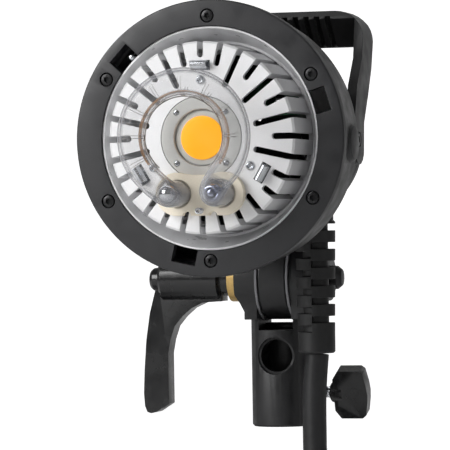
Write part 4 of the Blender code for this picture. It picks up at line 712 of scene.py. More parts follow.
CONE_WALL, CONE_LENGTH, CONE_REAR_RADIUS = 0.0008, 0.0208, 0.0478
DRUM_RADIUS = 0.0455
cone_front, cone_front_radius = PIN_TIP - GAP, PIN_CIRCLE - PIN_RADIUS - GAP
cone_back = cone_front - CONE_LENGTH
cone_rows = 12
cone_outer = [
    (
        cone_front_radius + (CONE_REAR_RADIUS - cone_front_radius) * i / cone_rows,
        cone_front - CONE_LENGTH * i / cone_rows,
    )
    for i in range(cone_rows + 1)
]
cone_inner = [(r - CONE_WALL, z) for r, z in cone_outer[:-1]]
cone_profile = cone_outer + [
    (DRUM_RADIUS + GAP, cone_back),
    (DRUM_RADIUS + GAP, cone_back + CONE_WALL),
    (CONE_REAR_RADIUS - CONE_WALL, cone_back + CONE_WALL),
] + cone_inner[:0:-1] + [(cone_front_radius - CONE_WALL, cone_front)]
etched_aluminium = grained(
    "etched_aluminium", (0.86, 0.86, 0.87), 0.36, metallic=0.2, spread=0.05, grain=1500.0, relief=0.10
)
cone = joined("reflector_cone_spun", [spun_shape(cone_profile, 180, LIGHT_FRAME)], etched_aluminium)
shown(smooth(cone), "head", "reflector", "reflector_cone")

# --- Heat-sink drum ----------------------------------------------------------------------------------
# A machined aluminium cup, bead-blasted bright. Its face carries the lamp and the tube's base, and
# 28 slots cut from the face down the side let the cooling air through.

DRUM_AHEAD, FACE_THICK, DRUM_WALL, DRUM_EDGE = 0.0128, 0.003, 0.0035, 0.0010
FLANGE_RADIUS, FLANGE_THICK = 0.056, 0.003
SLOTS, DRUM_SLOT_WIDTH, SLOT_SIDE = 28, 0.003, 0.0405
SLOT_LONG, SLOT_SHORT, SLOT_BY_CLIP = 0.026, 0.0343, 0.0378
CARRIER_RADIUS = 0.0196
CLIP_ANGLES = (90, 210, 330)
WINDOW_INNER, WINDOW_OUTER, WINDOW_WIDTH = 0.0317, 0.0365, 0.0095
RIVET_CIRCLE, RIVET_RADIUS = 0.0273, 0.0022
LEG_X, LEG_Y, ELECTRODE_RADIUS = 0.0108, -0.0264, 0.0028

face_back = DRUM_AHEAD - FACE_THICK
drum_profile = [
    (DRUM_RADIUS - DRUM_EDGE, DRUM_AHEAD),
    (DRUM_RADIUS, DRUM_AHEAD - DRUM_EDGE),
    (DRUM_RADIUS, drum_back + FLANGE_THICK),
    (FLANGE_RADIUS, drum_back + FLANGE_THICK),
    (FLANGE_RADIUS, drum_back),
    (DRUM_RADIUS - DRUM_WALL, drum_back),
    (DRUM_RADIUS - DRUM_WALL, face_back),
    (CARRIER_RADIUS + GAP, face_back),
    (CARRIER_RADIUS + GAP, DRUM_AHEAD),
]
blasted_aluminium = grained(
    "bead_blasted_aluminium", (0.86, 0.86, 0.87), 0.48, metallic=0.35, spread=0.03, grain=1800.0, relief=0.16
)
drum = joined("slotted_drum", [spun_shape(drum_profile, SLOTS * 8, LIGHT_FRAME)], blasted_aluminium)


def slot_start(number):
    angle = 360 * number / SLOTS
    if any(abs((angle - clip + 180) % 360 - 180) < 288 / SLOTS for clip in CLIP_ANGLES):
        return SLOT_BY_CLIP
    return SLOT_LONG if number % 2 else SLOT_SHORT


def drum_slot(number):
    half = DRUM_SLOT_WIDTH / 2
    inner = slot_start(number) + half
    outline = arc(inner, 0, half, 90, 270, 9) + [(DRUM_RADIUS + 0.004, -half), (DRUM_RADIUS + 0.004, half)]
    return swung(outline, 360 * number / SLOTS)


clip_window = rectangle(WINDOW_INNER, WINDOW_OUTER, -WINDOW_WIDTH / 2, WINDOW_WIDTH / 2)
rivet_hole = circle(RIVET_CIRCLE, 0, 0.0015, 22)
face_holes = [swung(outline, angle) for angle in CLIP_ANGLES for outline in (clip_window, rivet_hole)]
face_holes += [circle(side * LEG_X, LEG_Y, ELECTRODE_RADIUS + GAP, 26) for side in (-1, 1)]
worked(
    drum,
    "DIFFERENCE",
    [
        raised([drum_slot(number) for number in range(SLOTS)], DRUM_AHEAD - SLOT_SIDE, DRUM_AHEAD + 0.002),
        raised(face_holes, face_back - 0.001, DRUM_AHEAD + 0.001),
    ],
)
shown(smooth(drum, 20), "head", "drum_aluminium", "heat_sink_drum")

# --- Modelling lamp: spreader core, chip board, phosphor and carrier ---------------------------------
# The lamp's chips lie under one round pad of amber silicone on a white board, screwed with its
# grey carrier to a solid aluminium core that takes the heat back to the fan's air.

LED_RADIUS, LED_BOARD_RADIUS, BOARD_THICK, LED_DOME = 0.01035, 0.0129, 0.001, 0.0006
CARRIER_OPENING, CARRIER_THICK = 0.0134, 0.0025
CORE_RADIUS = 0.025
CARRIER_SCREW_CIRCLE = 0.017

core_front = face_back - GAP
board_front = core_front + GAP + BOARD_THICK
pad_low = board_front + GAP
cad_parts["spreader_core"].data.materials.clear()
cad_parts["spreader_core"].data.materials.append(blasted_aluminium)
board_white = grained("board_white", (0.62, 0.63, 0.60), 0.35, spread=0.03, relief=0.02)
board_profile = [(0, board_front), (LED_BOARD_RADIUS - 0.0001, board_front), (LED_BOARD_RADIUS, board_front - 0.0001)]
board_profile += [(LED_BOARD_RADIUS, core_front + GAP), (0, core_front + GAP)]
led_board = joined("lamp_board", [spun_shape(board_profile, 96, LIGHT_FRAME)], board_white)
shown(smooth(led_board), "head", "led_white", "led_board")
amber = grained("amber_silicone_painted_glow", (1.0, 0.44, 0.012), 0.38, spread=0.02, grain=1600.0, relief=0.05)
amber_glow_shader = amber.node_tree.nodes["Principled BSDF"]
# The lamp is not lit here: this faint emission on the amber pad is a painted glow that raises its brightness.
amber_glow_shader.inputs["Emission Color"].default_value = (1.0, 0.42, 0.012, 1)
amber_glow_shader.inputs["Emission Strength"].default_value = 0.38
pad_profile = [(LED_RADIUS * sin(a), pad_low + LED_DOME * (0.55 + 0.45 * cos(a))) for a in [pi / 2 * i / 8 for i in range(9)]]
pad_profile += [(LED_RADIUS, pad_low), (0, pad_low)]
phosphor = joined("amber_pad", [spun_shape(pad_profile, 96, LIGHT_FRAME)], amber)
shown(smooth(phosphor, 60), "head", "phosphor", "led_phosphor")
carrier_grey = grained("carrier_grey", (0.60, 0.60, 0.58), 0.40, spread=0.03, grain=1200.0, relief=0.08)
carrier_back = DRUM_AHEAD - CARRIER_THICK
carrier_profile = [
    (CARRIER_RADIUS - 0.0002, DRUM_AHEAD),
    (CARRIER_RADIUS, DRUM_AHEAD - 0.0002),
    (CARRIER_RADIUS, carrier_back),
    (CARRIER_OPENING, carrier_back),
    (CARRIER_OPENING, DRUM_AHEAD - 0.0009),
    (CARRIER_OPENING + 0.0003, DRUM_AHEAD - 0.0003),
    (CARRIER_OPENING + 0.0010, DRUM_AHEAD),
]
carrier = joined("lamp_carrier", [spun_shape(carrier_profile, 120, LIGHT_FRAME)], carrier_grey)
carrier_places = [polar(CARRIER_SCREW_CIRCLE, angle) for angle in (45, 135, 225, 315)]
carrier_holes = [circle(x, y, 0.0015, 21) for x, y in carrier_places]
worked(carrier, "DIFFERENCE", [raised(carrier_holes, carrier_back - 0.001, DRUM_AHEAD + 0.001)])
shown(smooth(carrier), "head", "led_white", "led_carrier")
for number, (x, y) in enumerate(carrier_places, 1):
    seat = LIGHT_FRAME @ Matrix.Translation((x, y, DRUM_AHEAD - 0.0001)) @ Matrix.Rotation(number, 4, "Z")
    screw = socket_screw(f"lamp_screw_{number}", 0.0012, 0.0008, 0.0007, 0.0062, seat, bright_steel)
    shown(screw, "head", "screw_black", f"carrier_screw_{number}")

# --- Dome clips --------------------------------------------------------------------------------------
# Three bent leaves of spring steel, riveted behind the drum's face, arch out through windows. They
# hold the lip of the glass dome that covers the tube on the road.

CLIP_METAL, CLIP_WIDTH, CLIP_RISE = 0.0005, 0.0078, 0.0052
leaf_back, leaf_front = face_back - GAP - CLIP_METAL, face_back - GAP
arch_top = DRUM_AHEAD + CLIP_RISE
leaf_inner = CORE_RADIUS + GAP
arch_radius = 0.0016
arch_x = WINDOW_OUTER - GAP - arch_radius
outer_arch = arc(arch_x, arch_top - arch_radius, arch_radius, 0, 130, 10)
inner_arch = arc(arch_x, arch_top - arch_radius, arch_radius - CLIP_METAL, 130, 0, 10)
leaf_path = (
    [(leaf_inner, leaf_back), (WINDOW_OUTER - GAP, leaf_back)]
    + outer_arch
    + [(WINDOW_INNER + 0.0008, DRUM_AHEAD + 0.0014), (WINDOW_INNER + 0.0012, DRUM_AHEAD + 0.0010)]
    + inner_arch
    + [(WINDOW_OUTER - GAP - CLIP_METAL, leaf_front), (leaf_inner, leaf_front)]
)
rivet_top = DRUM_AHEAD + GAP + 0.001
rivet_profile = [
    (0, DRUM_AHEAD + GAP + 0.0002),
    (RIVET_RADIUS * 0.36, DRUM_AHEAD + GAP + 0.0002),
    (RIVET_RADIUS * 0.46, rivet_top - 0.0001),
    (RIVET_RADIUS * 0.62, rivet_top),
    (RIVET_RADIUS * 0.88, rivet_top - 0.0004),
    (RIVET_RADIUS, DRUM_AHEAD + GAP),
    (0.0012, DRUM_AHEAD + GAP),
    (0.0012, leaf_back - 0.0004),
    (0, leaf_back - 0.0004),
]
for number, angle in enumerate(CLIP_ANGLES, 1):
    clip_turn = LIGHT_FRAME @ Matrix.Rotation(radians(angle), 4, "Z")
    leaf_turn = clip_turn @ Matrix.Rotation(pi / 2, 4, "X")
    clip = joined(f"spring_clip_{number}", [raised([leaf_path], -CLIP_WIDTH / 2, CLIP_WIDTH / 2, leaf_turn)], bright_steel)
    rivet_turn = clip_turn @ Matrix.Translation((RIVET_CIRCLE, 0, 0))
    worked(clip, "UNION", [spun_shape(rivet_profile, 40, rivet_turn)])
    shown(smooth(eased(clip, 0.00012, 2, 50)), "head", "steel", f"dome_clip_{number}")

# --- Tube base ---------------------------------------------------------------------------------------
# A pressed cream ceramic block on the drum's face. Its two round seats hold the tube's legs, and
# two half-round notches in its lower edge let a tool in behind it.

BASE_THICK, LOBE_RADIUS, LOBE_X, LOBE_Y = 0.0042, 0.0102, 0.0113, -0.0265
BASE_NOTCH_RADIUS, BASE_NOTCH_X, SADDLE_X = 0.002, 0.0064, 0.004
TUBE_RADIUS = 0.0064

base_back = DRUM_AHEAD + GAP
base_front = base_back + BASE_THICK
base_half = arc(LOBE_X, LOBE_Y, LOBE_RADIUS, -90, 108, 40) + [(SADDLE_X, LOBE_Y + LOBE_RADIUS - 0.0012)]
base_outline = base_half + [(-x, y) for x, y in base_half[::-1]]
cream_ceramic = grained(
    "cream_ceramic", (0.93, 0.85, 0.70), 0.55, spread=0.04, grain=1500.0, relief=0.08, rough_spread=0.08
)
base = joined("ceramic_base", [raised([base_outline], base_back, base_front)], cream_ceramic)
notch_circles = [circle(side * BASE_NOTCH_X, LOBE_Y - LOBE_RADIUS, BASE_NOTCH_RADIUS, 30) for side in (-1, 1)]
seat_circles = [circle(side * LEG_X, LEG_Y, TUBE_RADIUS + GAP, 48) for side in (-1, 1)]
pin_circles = [circle(side * LEG_X, LEG_Y, ELECTRODE_RADIUS + GAP, 28) for side in (-1, 1)]
worked(
    base,
    "DIFFERENCE",
    [
        raised(seat_circles, base_back + 0.0006, base_front + 0.001),
        raised(pin_circles, base_back - 0.001, base_front),
        raised(notch_circles, base_back - 0.001, base_front + 0.001),
    ],
)
shown(smooth(eased(base, 0.0005, 3)), "head", "ceramic", "tube_base")

# --- Flash tube, its electrodes and trigger wire -------------------------------------------------------
# A clear quartz tube bent into a ring and turned back into two legs, filled with xenon. Each leg
# holds a tungsten electrode, and a fine trigger wire is wound along the ring's inner side.

TUBE_WALL, TUBE_CIRCLE, TUBE_AHEAD, TUBE_FOOT = 0.0012, 0.0256, 0.0423, 0.0142
ELECTRODE_BALL = 0.0043

leg_reach = hypot(LEG_X, LEG_Y)
turn_radius = sqrt(leg_reach**2 - TUBE_CIRCLE**2)
end_deg = degrees(atan2(LEG_Y, -LEG_X)) % 360 - degrees(asin(turn_radius / leg_reach))


def tube_line(steps, bend_steps):
    """Points from the foot of the left leg round the ring to the foot of the right one."""
    end_x, end_y = polar(TUBE_CIRCLE, end_deg)
    along_x, along_y = -sin(radians(end_deg)), cos(radians(end_deg))
    left = [(-LEG_X, LEG_Y, TUBE_FOOT), (-LEG_X, LEG_Y, (TUBE_FOOT + TUBE_AHEAD - turn_radius) / 2)]
    for i in range(bend_steps):
        angle = pi / 2 * i / bend_steps
        reach = turn_radius * cos(angle)
        height = TUBE_AHEAD - turn_radius + turn_radius * sin(angle)
        left.append((end_x + along_x * reach, end_y + along_y * reach, height))
    sweep = end_deg - 90
    left += [(*polar(TUBE_CIRCLE, end_deg - sweep * i / steps), TUBE_AHEAD) for i in range(steps)]
    return left + [(0, TUBE_CIRCLE, TUBE_AHEAD)] + [(-x, y, z) for x, y, z in left[::-1]]


def hose(points, radius, sides, turn=LIGHT_FRAME, capped=True):
    """A round tube along its points, in the light's coordinates, as mesh."""
    curve = bpy.data.curves.new("hose", "CURVE")
    curve.dimensions = "3D"
    curve.bevel_depth = radius
    curve.bevel_resolution = sides // 2 - 2
    curve.use_fill_caps = capped
    spline = curve.splines.new("POLY")
    spline.points.add(len(points) - 1)
    for point, where in zip(spline.points, points):
        point.co = (*where, 1)
    guide = put("hose", curve)
    graph = bpy.context.evaluated_depsgraph_get()
    mesh = bpy.data.meshes.new_from_object(guide.evaluated_get(graph))
    bpy.data.objects.remove(guide)
    shape = bmesh.new()
    shape.from_mesh(mesh)
    bpy.data.meshes.remove(mesh)
    bmesh.ops.remove_doubles(shape, verts=shape.verts, dist=1e-6)
    bmesh.ops.transform(shape, matrix=turn, verts=shape.verts)
    return shape


quartz = bpy.data.materials.new("clear_quartz")
quartz.use_nodes = True
quartz_tree = quartz.node_tree
quartz_shader = quartz_tree.nodes["Principled BSDF"]
quartz_shader.inputs["Base Color"].default_value = (0.42, 0.43, 0.46, 1)
quartz_shader.inputs["Roughness"].default_value = 0.04
quartz_shader.inputs["IOR"].default_value = 1.46
quartz_rim = quartz_tree.nodes.new("ShaderNodeLayerWeight")
quartz_rim.inputs["Blend"].default_value = 0.45
quartz_body = quartz_tree.nodes.new("ShaderNodeMapRange")
quartz_body.inputs["From Min"].default_value = 0.25
quartz_body.inputs["From Max"].default_value = 1.0
quartz_body.inputs["To Min"].default_value = 0.07
quartz_body.inputs["To Max"].default_value = 1.0
quartz_tree.links.new(quartz_rim.outputs["Facing"], quartz_body.inputs["Value"])
quartz_tree.links.new(quartz_body.outputs["Result"], quartz_shader.inputs["Alpha"])
glass_line = tube_line(56, 12)
glass_outer = joined("quartz_tube", [hose(glass_line, TUBE_RADIUS, 32, capped=False)], quartz)
glass_wall = glass_outer.modifiers.new("wall", "SOLIDIFY")
glass_wall.thickness = TUBE_WALL
glass_wall.offset = -1
shown(smooth(glass_outer, 60), "head", "glass", "flash_tube")

gold_tint = grained("gold_tint", (0.90, 0.52, 0.22), 0.35, spread=0.1, relief=0.02)
gold_tint.node_tree.nodes["Principled BSDF"].inputs["Alpha"].default_value = 0.5
stripe_radius = TUBE_CIRCLE - (TUBE_RADIUS - TUBE_WALL) * 0.84
STRIPE_FIRST_DEG, STRIPE_LAST_DEG, STRIPE_STEPS, STRIPE_WIDTH = -38, 218, 96, 0.0050
stripe = bmesh.new()
stripe_rows = []
for i in range(STRIPE_STEPS + 1):
    angle = STRIPE_FIRST_DEG + (STRIPE_LAST_DEG - STRIPE_FIRST_DEG) * i / STRIPE_STEPS
    row = []
    for share in (-1, -0.33, 0.33, 1):
        bulge = 0.0004 * (1 - share * share)
        x, y = polar(stripe_radius - bulge, angle)
        row.append(stripe.verts.new((x, y, TUBE_AHEAD + STRIPE_WIDTH / 2 * share - 0.0006)))
    stripe_rows.append(row)
for a, b in zip(stripe_rows, stripe_rows[1:]):
    for i in range(3):
        stripe.faces.new((a[i], a[i + 1], b[i + 1], b[i]))
bmesh.ops.transform(stripe, matrix=LIGHT_FRAME, verts=stripe.verts)
coating = joined("tube_start_coating", [stripe], gold_tint)
coating.modifiers.new("film", "SOLIDIFY").thickness = 0.00008
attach(smooth(coating, 80), "head")

BALL_RISE = 0.0035
ball_z = TUBE_AHEAD - turn_radius + BALL_RISE
mirror_steel = grained("polished_steel", (0.72, 0.73, 0.76), 0.10, metallic=1.0, spread=0.05, relief=0.0, rough_spread=0.05)
electrode_profile = [(ELECTRODE_BALL * sin(a), ball_z + ELECTRODE_BALL * cos(a)) for a in [2.3 * i / 14 for i in range(15)]]
for band in range(4):
    z = ball_z - 0.0052 - band * 0.0024
    electrode_profile += [(0.0036, z), (0.0043, z - 0.0003), (0.0043, z - 0.0011), (0.0036, z - 0.0014)]
electrode_foot = base_back - 0.004
electrode_profile += [(ELECTRODE_RADIUS, base_front + 0.0004), (ELECTRODE_RADIUS, electrode_foot), (0, electrode_foot)]
left_turn = LIGHT_FRAME @ Matrix.Translation((-LEG_X, LEG_Y, 0))
electrode = joined("ball_electrode", [spun_shape(electrode_profile, 48, left_turn)], mirror_steel)
shown(smooth(electrode), "head", "steel", "electrode_left")
blue_steel = grained("heat_blued_steel", (0.42, 0.45, 0.60), 0.20, metallic=1.0, spread=0.25, relief=0.02)
right_turn = LIGHT_FRAME @ Matrix.Translation((LEG_X, LEG_Y, 0))
post_profile = [(0, ball_z + 0.0030), (0.0016, ball_z + 0.0026), (0.0019, ball_z + 0.0018)]
post_profile += [(0.0019, base_front + 0.001), (ELECTRODE_RADIUS, base_front), (ELECTRODE_RADIUS, electrode_foot), (0, electrode_foot)]
COIL_TURNS, COIL_WIRE, COIL_REACH = 5, 0.00075, 0.0030
helix = []
for i in range(COIL_TURNS * 20 + 1):
    a = 2 * pi * i / 20
    reach = COIL_REACH + 0.0005 * sin(a / 10)
    helix.append((LEG_X + reach * cos(a), LEG_Y + reach * sin(a), ball_z + 0.0034 - 0.0017 * i / 20))
electrode = joined(
    "coil_electrode", [spun_shape(post_profile, 36, right_turn), hose(helix, COIL_WIRE, 10)], blue_steel
)
shown(smooth(electrode), "head", "steel", "electrode_right")

WIRE_RADIUS = 0.0003
wire_circle = TUBE_CIRCLE - TUBE_RADIUS - GAP - WIRE_RADIUS
wire_line = [(*polar(wire_circle, -50 + 280 * i / 140), TUBE_AHEAD + 0.0004 * sin(pi * i / 14)) for i in range(141)]
LOOP_RADIUS, LOOPS = TUBE_RADIUS + 0.0002, 9
wire_shapes = [hose(wire_line, WIRE_RADIUS, 8)]
for number in range(LOOPS):
    loop_deg = -30 + 240 * number / (LOOPS - 1)
    for shift in (-1.6, 1.6):
        turn = LIGHT_FRAME @ Matrix.Rotation(radians(loop_deg + shift), 4, "Z")
        half = [
            (TUBE_CIRCLE - LOOP_RADIUS * cos(a), 0.0, TUBE_AHEAD + LOOP_RADIUS * sin(a))
            for a in [-1.2 + 3.1 * i / 20 for i in range(21)]
        ]
        wire_shapes.append(hose(half, 0.00013, 6, turn))
wire_steel = grained("trigger_wire_steel", (0.30, 0.29, 0.28), 0.35, metallic=0.9, spread=0.1, relief=0.0)
trigger_wire = joined("wound_trigger_wire", wire_shapes, wire_steel)
shown(smooth(trigger_wire, 70), "head", "steel", "trigger_wire")
SPRING_TURNS = 6
spring = []
for i in range(SPRING_TURNS * 12 + 1):
    a = 2 * pi * i / 12
    spring.append((0.0012 * cos(a) + 0.0012, 0.0012 * sin(a) - 0.0345, base_front + 0.0022 + 0.0009 * i / 12))
trigger_clip = joined("trigger_spring", [hose(spring, 0.00032, 8)], mirror_steel)
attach(smooth(trigger_clip, 70), "head")

# --- Rear housing ------------------------------------------------------------------------------------
# The round shell of the head, moulded like the front one and narrower at its rear. It has cooling
# slots in both sides, and holes for the lead, the handle's screws and the tilt knuckle.

REAR_LENGTH, TAIL_RADIUS, TAIL_BACK, TAIL_TAPER = 0.0902, 0.0385, 0.115, 0.0045
HANDLE_SCREW_BACK, VENTS, VENT_WIDTH, VENT_HEIGHT, VENTS_BACK = 0.090, 4, 0.0032, 0.024, 0.029
LEAD_BACK, RELIEF_TOP_RADIUS, NUT_TOP = lead_y - RING_FACE_Y, 0.00925, -0.0240
KNUCKLE_BACK, KNUCKLE_SPREAD, SCREW_HOLE = -RING_FACE_Y, 0.0115, 0.0023

rear_end = rear_start - REAR_LENGTH
rear_inner = REAR_RADIUS - REAR_WALL
tail_inner = TAIL_RADIUS - REAR_WALL
rear_profile = [
    (spigot_radius, rear_start + SPIGOT_LENGTH),
    (spigot_radius, rear_start),
    (REAR_RADIUS - 0.0004, rear_start),
    (REAR_RADIUS, rear_start - 0.0004),
    (REAR_RADIUS, TAIL_TAPER - TAIL_BACK + 0.0008),
    (REAR_RADIUS - 0.0008, TAIL_TAPER - TAIL_BACK - 0.0003),
    (TAIL_RADIUS + 0.0006, 0.0003 - TAIL_BACK),
    (TAIL_RADIUS, -TAIL_BACK - 0.0008),
    (TAIL_RADIUS, rear_end + 0.0003),
    (TAIL_RADIUS - 0.0003, rear_end),
    (tail_inner, rear_end),
    (tail_inner, REAR_WALL - TAIL_BACK),
    (rear_inner, REAR_WALL + TAIL_TAPER - TAIL_BACK),
    (rear_inner, rear_start - 0.002),
    (spigot_radius - REAR_WALL, rear_start),
    (spigot_radius - REAR_WALL, rear_start + SPIGOT_LENGTH),
]
rear = joined("rear_shell", [spun_shape(rear_profile, 160, LIGHT_FRAME)], moulded_black)
UPRIGHT = Matrix.Rotation(-pi / 2, 4, "X")
SIDEWAYS = Matrix.Rotation(pi / 2, 4, "Y")

def upright_hole(radius, x, back, low, high, sides):
    turn = LIGHT_FRAME @ Matrix.Translation((x, 0, -back)) @ UPRIGHT
    return raised([circle(0, 0, radius, sides)], low, high, turn)


vents = []
for number in range(VENTS):
    back = HANDLE_SCREW_BACK + VENTS_BACK + number * VENT_WIDTH * 2
    middle, half, rise = back + VENT_WIDTH / 2, VENT_WIDTH / 2, VENT_HEIGHT / 2 - VENT_WIDTH / 2
    vents.append(arc(middle, rise, half, 0, 180, 8) + arc(middle, -rise, half, 180, 360, 8))
sideways_turn = LIGHT_FRAME @ SIDEWAYS
worked(
    rear,
    "DIFFERENCE",
    [
        upright_hole(RELIEF_TOP_RADIUS + GAP, lead_x, LEAD_BACK, -REAR_RADIUS, NUT_TOP, 44),
        upright_hole(SCREW_HOLE, 0, KNUCKLE_BACK - KNUCKLE_SPREAD, -0.0595, -0.030, 22),
        upright_hole(SCREW_HOLE, 0, KNUCKLE_BACK + KNUCKLE_SPREAD, -0.0595, -0.030, 22),
        raised([circle(HANDLE_SCREW_BACK, 0, SCREW_HOLE, 22)], -0.07, 0.07, sideways_turn),
        raised(vents, -0.07, 0.07, sideways_turn),
    ],
)
shown(smooth(rear), "head", "black_case", "rear_housing")

# --- Rear cover and fan ------------------------------------------------------------------------------
# The cover is a moulded cap with two rings of curved openings. Behind it a square fan blows air
# through the shell and out past the drum.

COVER_DEPTH, COVER_EDGE = 0.009, 0.004
cover_front = rear_end - GAP
cover_back = cover_front - COVER_DEPTH
cover_profile = [(TAIL_RADIUS - 0.0004, cover_front), (TAIL_RADIUS, cover_front - 0.0004)]
cover_profile += [
    (TAIL_RADIUS - COVER_EDGE + COVER_EDGE * cos(a), cover_back + COVER_EDGE - COVER_EDGE * sin(a))
    for a in [pi / 2 * i / 8 for i in range(9)]
]
cover_profile += [
    (0, cover_back),
    (0, cover_back + REAR_WALL),
    (tail_inner - COVER_EDGE * 0.4, cover_back + REAR_WALL),
    (tail_inner, cover_back + REAR_WALL + 0.002),
    (tail_inner, cover_front),
]
cover = joined("rear_cap", [spun_shape(cover_profile, 160, LIGHT_FRAME)], moulded_black)
grille = []
for radius in (0.013, 0.022):
    for angle in [18 + 72 * i for i in range(5)]:
        grille.append(
            arc(0, 0, radius + 0.0019, angle - 28, angle + 28, 14) + arc(0, 0, radius - 0.0019, angle + 28, angle - 28, 14)
        )
worked(cover, "DIFFERENCE", [raised(grille, cover_back - 0.001, cover_back + REAR_WALL + 0.001)])
shown(smooth(cover), "head", "black_case", "rear_cover")
fan_black = grained("fan_black", (0.02, 0.02, 0.021), 0.5, spread=0.1)
for name in ("fan_frame", "fan_rotor"):
    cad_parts[name].data.materials.clear()
    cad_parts[name].data.materials.append(fan_black)

# --- Electronics -------------------------------------------------------------------------------------
# A green circuit board with its capacitors, and the trigger coil that fires the tube. They show
# only through the shell's openings.

board_green = grained("board_green", (0.02, 0.12, 0.05), 0.45, spread=0.3, grain=300.0)
coil_lacquer = grained("coil_lacquer", (0.28, 0.09, 0.03), 0.3, spread=0.2, stretch=(1, 20, 1))
for name, paint in (("power_board", board_green), ("trigger_coil", coil_lacquer)):
    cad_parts[name].data.materials.clear()
    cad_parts[name].data.materials.append(paint)

# --- Carrying handle and its screws ------------------------------------------------------------------
# A moulded nylon bow. Its two arms lean back from their screws to a ribbed bar over the shell.


def refined(name, node, material, width, sharp_deg=32):
    """A piece made from the solid's own faces, with rounded edges."""
    shape = bmesh.new()
    shape.from_mesh(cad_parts[node].data)
    bmesh.ops.remove_doubles(shape, verts=shape.verts, dist=1e-5)
    bmesh.ops.dissolve_limit(shape, angle_limit=radians(1), verts=shape.verts, edges=shape.edges)
    shape.transform(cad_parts[node].matrix_world)
    piece = joined(name, [shape], material)
    return smooth(eased(piece, width, 3) if width else piece, sharp_deg)


handle_nylon = grained("handle_nylon", (0.010, 0.010, 0.0105), 0.40, spread=0.12, grain=900.0, relief=0.05)
RIB_PITCH, RIB_GAP = 0.0055, 0.0027
rib_face = [(0.1030, 0.0622), (0.1040, 0.0608), (0.1180, 0.0474), (0.1193, 0.0474), (0.1191, 0.0492), (0.1055, 0.0624)]
grooves = []
for number in range(-6, 7):
    x = number * RIB_PITCH
    grooves.append(raised([rib_face], x - RIB_GAP / 2, x + RIB_GAP / 2, sideways_turn))
bow = refined("moulded_handle", "handle", handle_nylon, 0)
worked(bow, "DIFFERENCE", grooves)
shown(smooth(eased(bow, 0.0006, 2), 32), "head", "black_handle", "handle")
for side in ("left", "right"):
    screw_node = "handle_screw_" + side
    shown(refined(screw_node + "_turned", screw_node, black_oxide, 0.0002), "head", "screw_black", screw_node)

# --- Tilt knuckle ------------------------------------------------------------------------------------
# A cast tongue screwed up into the shell from below, which the bracket's fork grips.

cast_black = grained("cast_black", (0.011, 0.011, 0.012), 0.42, spread=0.18, grain=700.0, relief=0.12)
shown(refined("cast_knuckle", "tilt_knuckle", cast_black, 0.0008), "head", "black_cast", "tilt_knuckle")
for number in (1, 2):
    screw_node = f"knuckle_screw_{number}"
    shown(refined(screw_node + "_turned", screw_node, black_oxide, 0.0002), "head", "screw_black", screw_node)

# --- Gland nut and strain relief ---------------------------------------------------------------------
# A soft rubber sleeve on the lead, slotted half-way from alternate sides so that it bends, and the
# nut that holds it inside the shell.

sleeve_rubber = grained("sleeve_rubber", (0.009, 0.009, 0.0095), 0.48, spread=0.12, grain=1200.0, relief=0.06)
shown(refined("gland_nut_moulded", "gland_nut", sleeve_rubber, 0.0003), "head", "black_rubber", "gland_nut")
RELIEF_TOP, RELIEF_FOOT, RELIEF_COLLAR, RELIEF_PLAIN = -0.0281, -0.106, 0.010, 0.0075
RELIEF_PITCH, RELIEF_SLOT, RELIEF_CORE, RELIEF_WIDEST, RELIEF_END = 0.0092, 0.0033, 0.0064, 0.0102, 0.0093
wall_below = -sqrt(REAR_RADIUS**2 - lead_x**2) - 0.0005
relief_turn = LIGHT_FRAME @ Matrix.Translation((lead_x, 0, -LEAD_BACK)) @ UPRIGHT
sleeve_profile = [
    (0, RELIEF_TOP),
    (RELIEF_TOP_RADIUS, RELIEF_TOP),
    (RELIEF_TOP_RADIUS, wall_below),
    (RELIEF_WIDEST, wall_below - 0.0008),
    (RELIEF_END, RELIEF_FOOT + RELIEF_COLLAR),
    (RELIEF_END, RELIEF_FOOT + 0.0008),
    (RELIEF_END - 0.0008, RELIEF_FOOT),
    (0, RELIEF_FOOT),
]
sleeve = joined("slotted_sleeve", [spun_shape(sleeve_profile, 44, relief_turn)], sleeve_rubber)
half_ring = arc(0, 0, RELIEF_WIDEST + 0.001, -90, 90, 13) + arc(0, 0, RELIEF_CORE, 90, -90, 11)
sleeve_slots = []
first_slot = RELIEF_FOOT + RELIEF_COLLAR
for number in range(int((RELIEF_TOP - RELIEF_PLAIN - first_slot) / RELIEF_PITCH * 2)):
    middle = first_slot + RELIEF_PITCH * (number + 0.5) / 2
    outline = half_ring if number % 2 else [(-x, -y) for x, y in half_ring]
    sleeve_slots.append(raised([outline], middle - RELIEF_SLOT / 2, middle + RELIEF_SLOT / 2, relief_turn))
worked(sleeve, "DIFFERENCE", sleeve_slots)
shown(smooth(eased(sleeve, 0.0004, 2)), "head", "black_rubber", "strain_relief")

# --- Bracket -----------------------------------------------------------------------------------------
# One die casting: two round ears over a hollow stem that drops on a stand's spigot. A cross hole
# through the stem takes the spigot sideways instead.

shown(refined("cast_bracket", "bracket_fork", cast_black, 0.0009), "stand_bracket", "black_cast", "bracket_fork")
WEB_LOW, WEB_HIGH, WEB_FRONT, WEB_BACK = 0.0485, 0.0524, 0.003, 0.0150
web_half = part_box("friction_disc_right")[1].x + 2 * GAP
web = joined("fork_web", [raised([rectangle(-web_half, web_half, WEB_FRONT, WEB_BACK)], WEB_LOW, WEB_HIGH, Matrix())], cast_black)
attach(web, "stand_bracket")

# --- Tilt bolt, discs and washers --------------------------------------------------------------------
# A steel bolt through both ears. Its domed head shows on the right, a brass washer on the left,
# and grey lining discs grip the knuckle between the ears.

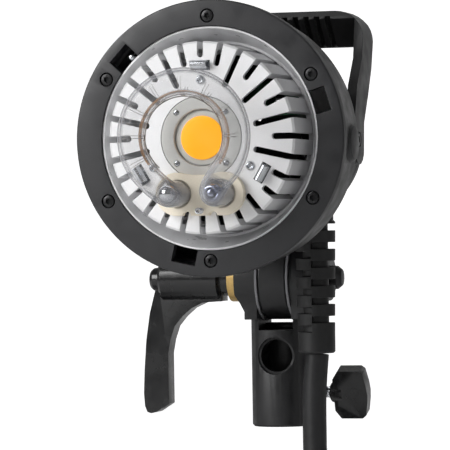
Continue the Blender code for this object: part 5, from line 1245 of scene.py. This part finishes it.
yellow_brass = grained("yellow_brass", (0.62, 0.42, 0.16), 0.36, metallic=0.85, spread=0.15, relief=0.04)
lining_grey = grained("lining_grey", (0.20, 0.20, 0.21), 0.8, spread=0.2, grain=1500.0, relief=0.1)
shown(refined("domed_bolt", "tilt_bolt", black_oxide, 0.0003, 40), "stand_bracket", "screw_black", "tilt_bolt")
for side in ("left", "right"):
    disc_node = "friction_disc_" + side
    shown(refined(disc_node + "_lining", disc_node, lining_grey, 0.0002), "stand_bracket", "friction_disc", disc_node)
shown(refined("brass_spacer", "brass_washer", yellow_brass, 0.0003), "stand_bracket", "brass", "brass_washer")
shown(refined("black_washer", "steel_washer", black_oxide, 0.0003), "stand_bracket", "black_cast", "steel_washer")

# --- Clamp lever and its cap -------------------------------------------------------------------------
# A glossy moulded lever on the bolt's left end, with a curved arm for the hand and a pressed cap.

lever_gloss = grained("lever_gloss", (0.005, 0.005, 0.0055), 0.24, spread=0.1, grain=300.0, relief=0.02, coat=0.3)
shown(refined("curved_lever", "clamp_lever", lever_gloss, 0.0014), "clamp_lever", "black_lever", "clamp_lever")
shown(refined("pressed_cap", "lever_cap", lever_gloss, 0.0003, 40), "clamp_lever", "black_lever", "lever_cap")

# --- Stand clamp -------------------------------------------------------------------------------------
# A twisted wing knob on a plated screw, whose threads show beside the stem. The screw pushes a
# small brass pad against the spigot.

shown(refined("twisted_wing", "wing_knob", lever_gloss, 0.0009), "wing_knob", "black_lever", "wing_knob")
shown(refined("brass_pad", "clamp_pad", yellow_brass, 0.0002), "clamp_slide", "brass", "clamp_pad")
screw_low, screw_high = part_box("clamp_screw")
THREAD_PITCH, THREAD_DEPTH = 0.001, 0.0004
thread_top = (screw_high.z - screw_low.z) / 2
thread_z = (screw_high.z + screw_low.z) / 2
thread_turns = (screw_high.x - screw_low.x) / THREAD_PITCH
thread_profile = [(0, screw_low.x)]
for number in range(int(thread_turns)):
    x = screw_low.x + (number + 0.5) * THREAD_PITCH
    thread_profile += [(thread_top - THREAD_DEPTH, x - THREAD_PITCH * 0.45), (thread_top, x)]
thread_profile += [(thread_top - THREAD_DEPTH, screw_high.x), (0, screw_high.x)]
along_x = Matrix.Translation((0, 0, thread_z)) @ Matrix.Rotation(pi / 2, 4, "Y")
threads = joined("threaded_screw", [spun_shape(thread_profile, 40, along_x)], mirror_steel)
shown(smooth(threads, 60), "wing_knob", "steel", "clamp_screw")
